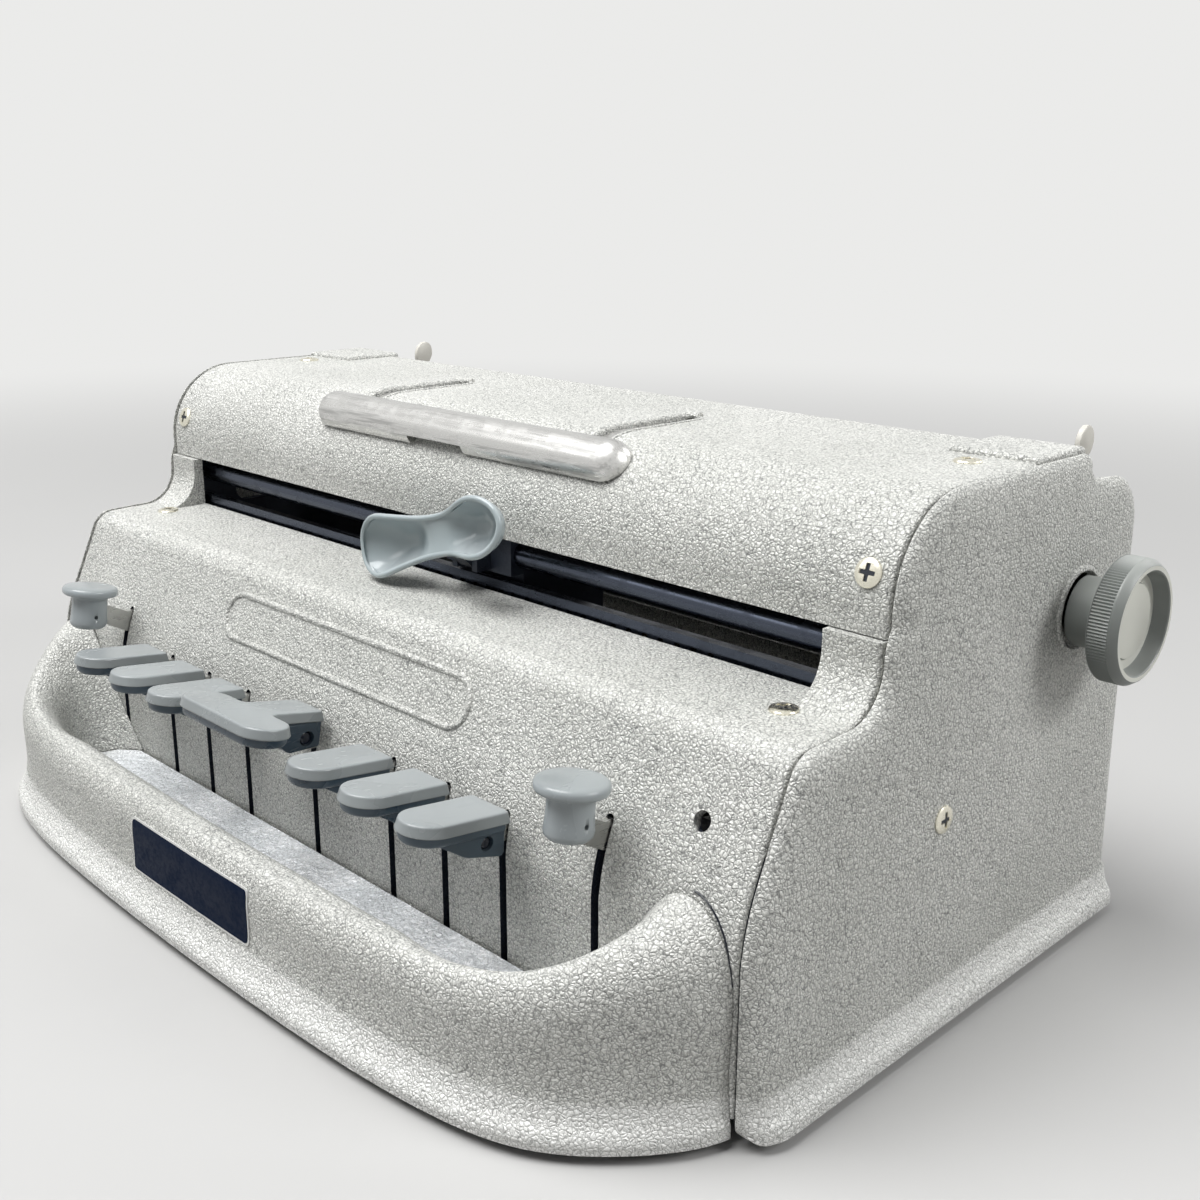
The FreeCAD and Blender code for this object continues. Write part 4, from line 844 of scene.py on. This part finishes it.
def side_height(y, z, edge_gap):
    """Outer face of a side panel: leaning, softly rounded to its edge, with a flared foot."""
    face = 180.6 - (z + 5) / 157.0 * 3.3
    drop = max(min(4.3, face - SEAM - 0.5), 0.0)
    height = face - drop * (1 - round_off(edge_gap, EDGE_WIDTH, 2.3))
    if z < FOOT_Z and y > 0.6:
        below, above = [(a, b) for a, b in zip(FOOT_PROFILE, FOOT_PROFILE[1:]) if a[0] <= z <= b[0]][0]
        flare = below[1] + (above[1] - below[1]) * (z - below[0]) / (above[0] - below[0]) - SEAM - 1.0
        height = max(height, SEAM + 1.0 + flare * round_off(y, 12.0) * round_off(PANEL_REAR - y, 4.7))
    ring = math.dist((y, z), DRUM_AXIS)
    return height - 1.5 * smooth((SOCKET_R - ring) / 0.9)


def side_points(edge, gap, step=1.3):
    """The edge, and a grid inside it that is coarse where the face is plain."""
    points = list(edge)
    rows = [(0, 0.001)] + [(0, z) for z, x in FOOT_PROFILE[1:]] + [(j, j * step) for j in range(11, 114)]
    for i in range(1, 138):
        for j, z in rows:
            y = i * step + (0.4 * step if j % 2 else 0.0)
            reach = gap(y, z)
            ring = math.dist((y, z), DRUM_AXIS)
            plain = reach > EDGE_WIDTH + 2 and z > 16 and abs(ring - 11.5) > 3
            coarse = plain and (i % 4 or j % 4)
            cut = (y < FOOT_CORNER and z < FOOT_CORNER
                   and math.hypot(FOOT_CORNER - y, FOOT_CORNER - z) > FOOT_CORNER - 0.5)
            if reach > 0.6 and not coarse and not cut and y < PANEL_REAR - 0.8:
                points.append((y, z))
    return points


def side_panel(name, side, node):
    """Side panel from its seam to its curved outer face, and the ring on it."""
    edge = side_edge()
    soft = [p for p in edge if p[1] > 0.5]
    dense = []
    for a, b in zip(soft, soft[1:]):
        dense += [a, ((a[0] + b[0]) / 2, (a[1] + b[1]) / 2)]
    tree = KDTree(len(dense))
    for index, (y, z) in enumerate(dense):
        tree.insert((y, z, 0), index)
    tree.balance()

    def gap(y, z):
        return tree.find((y, z, 0))[2]

    loop = list(range(len(edge)))
    borders = [(i, (i + 1) % len(edge)) for i in loop]
    points = [Vector(p) for p in side_points(edge, gap)]
    filled = delaunay_2d_cdt(points, borders, [loop], 1, 1e-6)
    verts, faces = filled[0], filled[2]
    outer = [(side * side_height(v.x, v.y, gap(v.x, v.y)), v.x, v.y) for v in verts]
    inner = [(side * SEAM, v.x, v.y) for v in verts]
    total = len(outer)
    front = [tuple(f) for f in faces]
    back = [tuple(i + total for i in f[::-1]) for f in front]
    steps = [(a, b) for f in front for a, b in zip(f, f[1:] + f[:1])]
    both = set(steps)
    rim = [(b, a, a + total, b + total) for a, b in steps if (b, a) not in both]
    skin = make(name, [(outer + inner, front + back + rim)], ENAMEL, "casing", 40)
    ring = lathe(RING_PROFILE, (side * 176.9, *DRUM_AXIS), (side, 0, 0))
    make(name + "_ring", [ring], ENAMEL, "casing", 50)
    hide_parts(node)


side_panel("side_skin_right", 1, "right_side_panel")
side_panel("side_skin_left", -1, "left_side_panel")


# ---- key springs
def coil(x, radius, wire, turns, length):
    """Helix of round wire about the key shaft."""
    steps = turns * 20
    rings = []
    for i in range(steps + 1):
        turn = 2 * math.pi * turns * i / steps
        out = Vector((0, math.cos(turn), math.sin(turn)))
        centre = Vector((x + length * i / steps, KEY_SHAFT[0] + radius * math.cos(turn),
                         KEY_SHAFT[1] + radius * math.sin(turn)))
        rings.append([tuple(centre + out * (wire * math.cos(a)) + Vector((wire * math.sin(a), 0, 0)))
                      for a in around(8)])
    return loft(rings)


lever_places = sorted([-OUTER_KEY_X, 0.0, OUTER_KEY_X, *DOT_X.values()])
coils = [coil(x + 5.4, radius=4.9, wire=0.65, turns=6, length=7.8) for x in lever_places]
springs = make("wound_springs", coils, STEEL, "casing", 50)
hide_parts("key_springs")

# ---- bare cartouche
SLOPE = Vector((0, 10.0, 22.2)).normalized()  # up the slanting face of the key panel
OUT = Vector((0, -22.2, 10.0)).normalized()
CARTOUCHE_MIDDLE = Vector((0, 10.6, 78.0))
CARTOUCHE_HALF, CARTOUCHE_R = 57.5, 7.6


def cartouche():
    """Raised bead with round ends on the slanting face of the key panel."""
    centre_line = []
    for side, start in ((1, -90), (-1, 90)):
        for i in range(17):
            a = math.radians(start + 180 * i / 16)
            across = Vector((side * CARTOUCHE_HALF + CARTOUCHE_R * math.cos(a), 0, 0))
            centre_line.append(CARTOUCHE_MIDDLE + across + SLOPE * (CARTOUCHE_R * math.sin(a)))
    verts, faces = [], []
    count, width = len(centre_line), 7
    for i, spot in enumerate(centre_line):
        along = (centre_line[(i + 1) % count] - centre_line[i - 1]).normalized()
        across = along.cross(OUT)
        for k in range(width):
            a = math.pi * k / 6
            verts.append(tuple(spot + across * (1.05 * math.cos(a)) + OUT * (0.95 * math.sin(a) - 0.1)))
            here, ahead, k_next = i * width, (i + 1) % count * width, (k + 1) % width
            faces.append([here + k, ahead + k, ahead + k_next, here + k_next])
    make("cartouche_bead", [(verts, faces)], ENAMEL, "casing", 60)


cartouche()

# ---- apron: fuller lip and bare plate
apron = face_tree("front_apron")
ABOVE = 90.0  # z where the rays that look down for the apron start
LIP_HALF = 112.0
TROUGH_Z = 17.5  # the slope of the lip ends here


def apron_top(x, y):
    """Height of the apron at a place, or None beside it."""
    spot = apron.ray_cast(at(x, y, ABOVE), DOWN)[0]
    return None if spot is None else drawn(spot)[2]


def lip_roll():
    """Fuller roll of the apron's lip: its inner slope moved inwards, ending in the trough."""
    rings = []
    for i in range(113):
        x = -LIP_HALF + 2.0 * i
        fade = 1 - smooth((abs(x) - 84.0) / 28.0)
        heights = [(y, apron_top(x, y)) for y in [-50.0 + 0.25 * k for k in range(128)]]
        heights = [(y, z) for y, z in heights if z is not None]
        crest_y, crest = max(heights, key=lambda pair: pair[1])
        inner = [pair for pair in heights if pair[0] >= crest_y]
        foot_y = next((y for y, z in inner if z < TROUGH_Z), inner[-1][0])
        upper, lower = [], []
        for k in range(27):
            share = k / 26
            y = crest_y - 0.6 + (foot_y + 3.2 - crest_y) * share
            shift = 3.1 * fade * smooth(share / 0.3)
            here, moved = apron_top(x, y), apron_top(x, max(y - shift, crest_y - 0.6))
            here = here if here is not None else crest
            moved = moved if moved is not None else here
            lift = 0.03 if 0.02 < share < 0.98 else -0.25
            upper.append((x, y, max(here, moved) + lift))
            lower.append((x, y, here - 0.6))
        rings.append(upper + lower[::-1])
    make("lip_roll", [loft(rings)], ENAMEL_APRON, "casing", 60)


def plate(name, x0, x1, z0, z1, corner, lift, material):
    """Thin sheet laid on the apron's front, with rounded corners."""
    columns, rows = 56, 14

    def laid(x, z, layer):
        """Point of a layer, pulled in at the sheet's corners and put on the apron."""
        cx, cz = min(max(x, x0 + corner), x1 - corner), min(max(z, z0 + corner), z1 - corner)
        dx, dz = x - cx, z - cz
        far = math.hypot(dx, dz)
        if far > corner:
            x, z = cx + dx / far * corner, cz + dz / far * corner
        spot, normal = apron.ray_cast(at(x, -90.0, z), REARWARD)[:2]
        normal = normal if normal.y < 0 else -normal
        return drawn(spot + normal * (layer / 1000.0 + 0.00004))

    def index(i, j, layer):
        return (layer * (columns + 1) + i) * (rows + 1) + j

    verts = [laid(x0 + (x1 - x0) * i / columns, z0 + (z1 - z0) * j / rows, layer)
             for layer in (0.0, lift) for i in range(columns + 1) for j in range(rows + 1)]
    faces = []
    for i in range(columns):
        for j in range(rows):
            square = [(i, j), (i + 1, j), (i + 1, j + 1), (i, j + 1)]
            faces.append([index(*spot, 1) for spot in square])
            faces.append([index(*spot, 0) for spot in square[:1] + square[:0:-1]])
    sides = [((i, j), (i + 1, j)) for i in range(columns) for j in (0, rows)]
    sides += [((i, j), (i, j + 1)) for j in range(rows) for i in (0, columns)]
    faces += [[index(*a, 0), index(*b, 0), index(*b, 1), index(*a, 1)] for a, b in sides]
    make(name, [(verts, faces)], material, "casing", 40)


lip_roll()
plate("plate_border", -32.2, 35.4, 12.8, 30.6, corner=1.6, lift=0.3, material=PLATE_EDGE)
plate("plate_face", -31.55, 34.75, 13.45, 29.95, corner=1.2, lift=0.45, material=PLATE)


# ---- slots and backs of the handle's arms
def cover_height(y):
    """Height of the cover's outer face."""
    middle, low, radius = COVER_BEND
    return TOP_Z if y > middle else low + math.sqrt(radius ** 2 - (y - middle) ** 2)


def slot_lip(name, x, off, radius):
    """Bead beside a handle slot, bent round its rear end."""
    trail = [(x + off, y, cover_height(y) + 0.1) for y in [69.0 + 1.5 * i for i in range(29)]]
    bend = [(x + off * math.cos(a), 111.0 + abs(off) * math.sin(a), TOP_Z + 0.1)
            for a in [math.pi * k / 16 for k in range(1, 9)]]
    bead(name, trail + bend, radius, ENAMEL)


def arm_strap(name, x):
    """Bright back of a handle arm, which fills the mouth of its slot."""
    ridge = [(y, max(cover_height(y) - 0.4, 145.0)) for y in [68.5 + 1.15 * i for i in range(21)]]
    outline = [(67.6, 144.4)] + ridge + [(92.2, 147.0), (92.4, 144.6), (80.0, 144.2), (70.0, 143.5)]
    make(name, [prism(x - 2.3, x + 2.3, outline)], ALUMINIUM, "handle", 40, SMALL_BEVEL)


for x, side in ((-HANDLE_X, "left"), (HANDLE_X, "right")):
    slot_lip("slot_lip_%s_outer" % side, x, off=-4.6, radius=1.65)
    slot_lip("slot_lip_%s_inner" % side, x, off=3.5, radius=0.5)
arm_strap("arm_strap_left", -HANDLE_X)
arm_strap("arm_strap_right", HANDLE_X)

# ---- seams behind the apron's horns
panel = face_tree("front_panel")


def horn_seam(side, name):
    """Dark joint line between a horn's flank and the key panel."""
    spots = []
    for x in [158.0 + 0.5 * i for i in range(32)]:
        crest = apron.ray_cast(at(side * x, -0.5, ABOVE), DOWN)[0]
        if crest is None or drawn(crest)[2] < 30.0:
            continue
        wall = panel.ray_cast(Vector((crest.x, crest.y - 0.03, crest.z + 0.0002)), REARWARD)[0]
        if wall is not None:
            spots.append((drawn(crest)[0], drawn(wall)[1] - 0.05, drawn(crest)[2] + 0.1))
    bead(name, spots, 0.3, BLACK_GLOSS)


horn_seam(1, "horn_seam_right")
horn_seam(-1, "horn_seam_left")

# ---- release levers
TIP = (172.5, 146.6)  # y and z of the oval's middle, before it is raised to its place
TIP_TOP = 151.3
ARM_OUTLINE = ((160.3, 116.0), (164.8, 134.0), (169.4, 146.0), (173.4, 145.0), (170.6, 132.4),
               (166.0, 116.6))


def release_lever(side, name):
    """Thin lever with a flat oval finger tip."""
    def blade(x0, x1, outline, centre):
        rings = []
        for x, share in ((x0, 0.88), (x0 + 0.35, 1.0), (x1 - 0.35, 1.0), (x1, 0.88)):
            rings.append([(side * x, centre[0] + (y - centre[0]) * share,
                           centre[1] + (z - centre[1]) * share) for y, z in outline])
        return loft(rings)

    lean = math.atan2(14.6, 5.2)
    oval = []
    for a in around(40):
        along, across = 5.3 * math.cos(a), 4.3 * math.sin(a)
        oval.append((TIP[0] + along * math.cos(lean) - across * math.sin(lean),
                     TIP[1] + along * math.sin(lean) + across * math.cos(lean)))
    top = max(z for y, z in oval)
    oval = [(y, z - top + TIP_TOP) for y, z in oval]
    hub = [(RELEASE_AXIS[0] + 6.0 * math.cos(a), RELEASE_AXIS[1] + 6.0 * math.sin(a)) for a in around(32)]
    parts = [blade(159.6, 161.8, oval, TIP), blade(159.8, 161.6, ARM_OUTLINE, (167.0, 131.0)),
             blade(159.0, 163.2, hub, RELEASE_AXIS)]
    return make(name, parts, CREAM, "release", 50)


release_right = release_lever(1, "release_paddle_right")
release_lever(-1, "release_paddle_left")
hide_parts("release_levers")

# ---- stage
PALE = rgb(0.83, 0.83, 0.82)  # backdrop
TABLE = (rgb(0.48, 0.478, 0.47), rgb(0.52, 0.517, 0.51))
TABLE_BOUNCE = rgb(0.24, 0.235, 0.225)


def pale_floor():
    """Pale table top that fades into the backdrop away from the object."""
    s = Shader("pale_floor", Roughness=0.6)
    where = s.place()
    soft_light = s.add("LightPath").outputs["Is Diffuse Ray"]
    tone = s.blend(s.noise(where, 3.0, 3.0), *TABLE)
    s.set(s.base, {"Base_Color": s.blend(soft_light, tone, TABLE_BOUNCE)})
    reach = s.add("VectorMath", {"operation": "LENGTH"}, Vector=where).outputs["Value"]
    return s.cover(s.times(s.seen(), s.ramp(reach, 0.35, 1.5)), s.add("Emission", Color=PALE, Strength=1.0))


floor_mesh = bpy.data.meshes.new("floor")
floor_mesh.from_pydata([(-9, -9, 0), (9, -9, 0), (9, 9, 0), (-9, 9, 0)], [], [(0, 1, 2, 3)])
floor_mesh.materials.append(pale_floor())
floor = add_object("floor", floor_mesh)


# ---- light
def lamp(name, spot, size, power):
    """Round softbox that looks at the object's middle."""
    data = bpy.data.lights.new(name, "AREA")
    data.shape = "DISK"
    data.size = size
    data.energy = power
    light = add_object(name, data)
    light.location = spot
    light.rotation_euler = (Vector((0, 0, 0.08)) - Vector(spot)).to_track_quat("-Z", "Y").to_euler()


lamp("top_softbox", (-0.25, -0.45, 1.35), size=1.2, power=28.5)
lamp("right_softbox", (1.1, 0.5, 0.8), size=0.6, power=7.6)
lamp("front_softbox", (-1.4, -1.6, 1.2), size=0.8, power=3.2)
lamp("rear_softbox", (0.5, 2.0, 1.1), size=1.0, power=6.0)

# dim, slightly blue world, which the picture and mirrored light show as the pale backdrop
world = Shader("studio", bpy.data.worlds, Color=rgb(0.86, 0.88, 0.92), Strength=0.15)
SCENE.world = world.cover(world.seen(), world.add("Background", Color=PALE))

# ---- camera
CAMERA_SPOT = (0.35442, -0.28807, 0.22207)  # metres
CAMERA_TURN = (73.586, -0.2005, 45.2862)  # degrees about x, y and z
lens = bpy.data.cameras.new("view")
lens.sensor_fit = "HORIZONTAL"
lens.sensor_width = 36.0
lens.lens = 42.005
lens.clip_start = 0.01
camera = add_object("view", lens)
turn = Euler([math.radians(angle) for angle in CAMERA_TURN])
camera.matrix_world = Matrix.Translation(CAMERA_SPOT) @ turn.to_matrix().to_4x4()
SCENE.camera = camera
SCENE.view_settings.view_transform = "Standard"
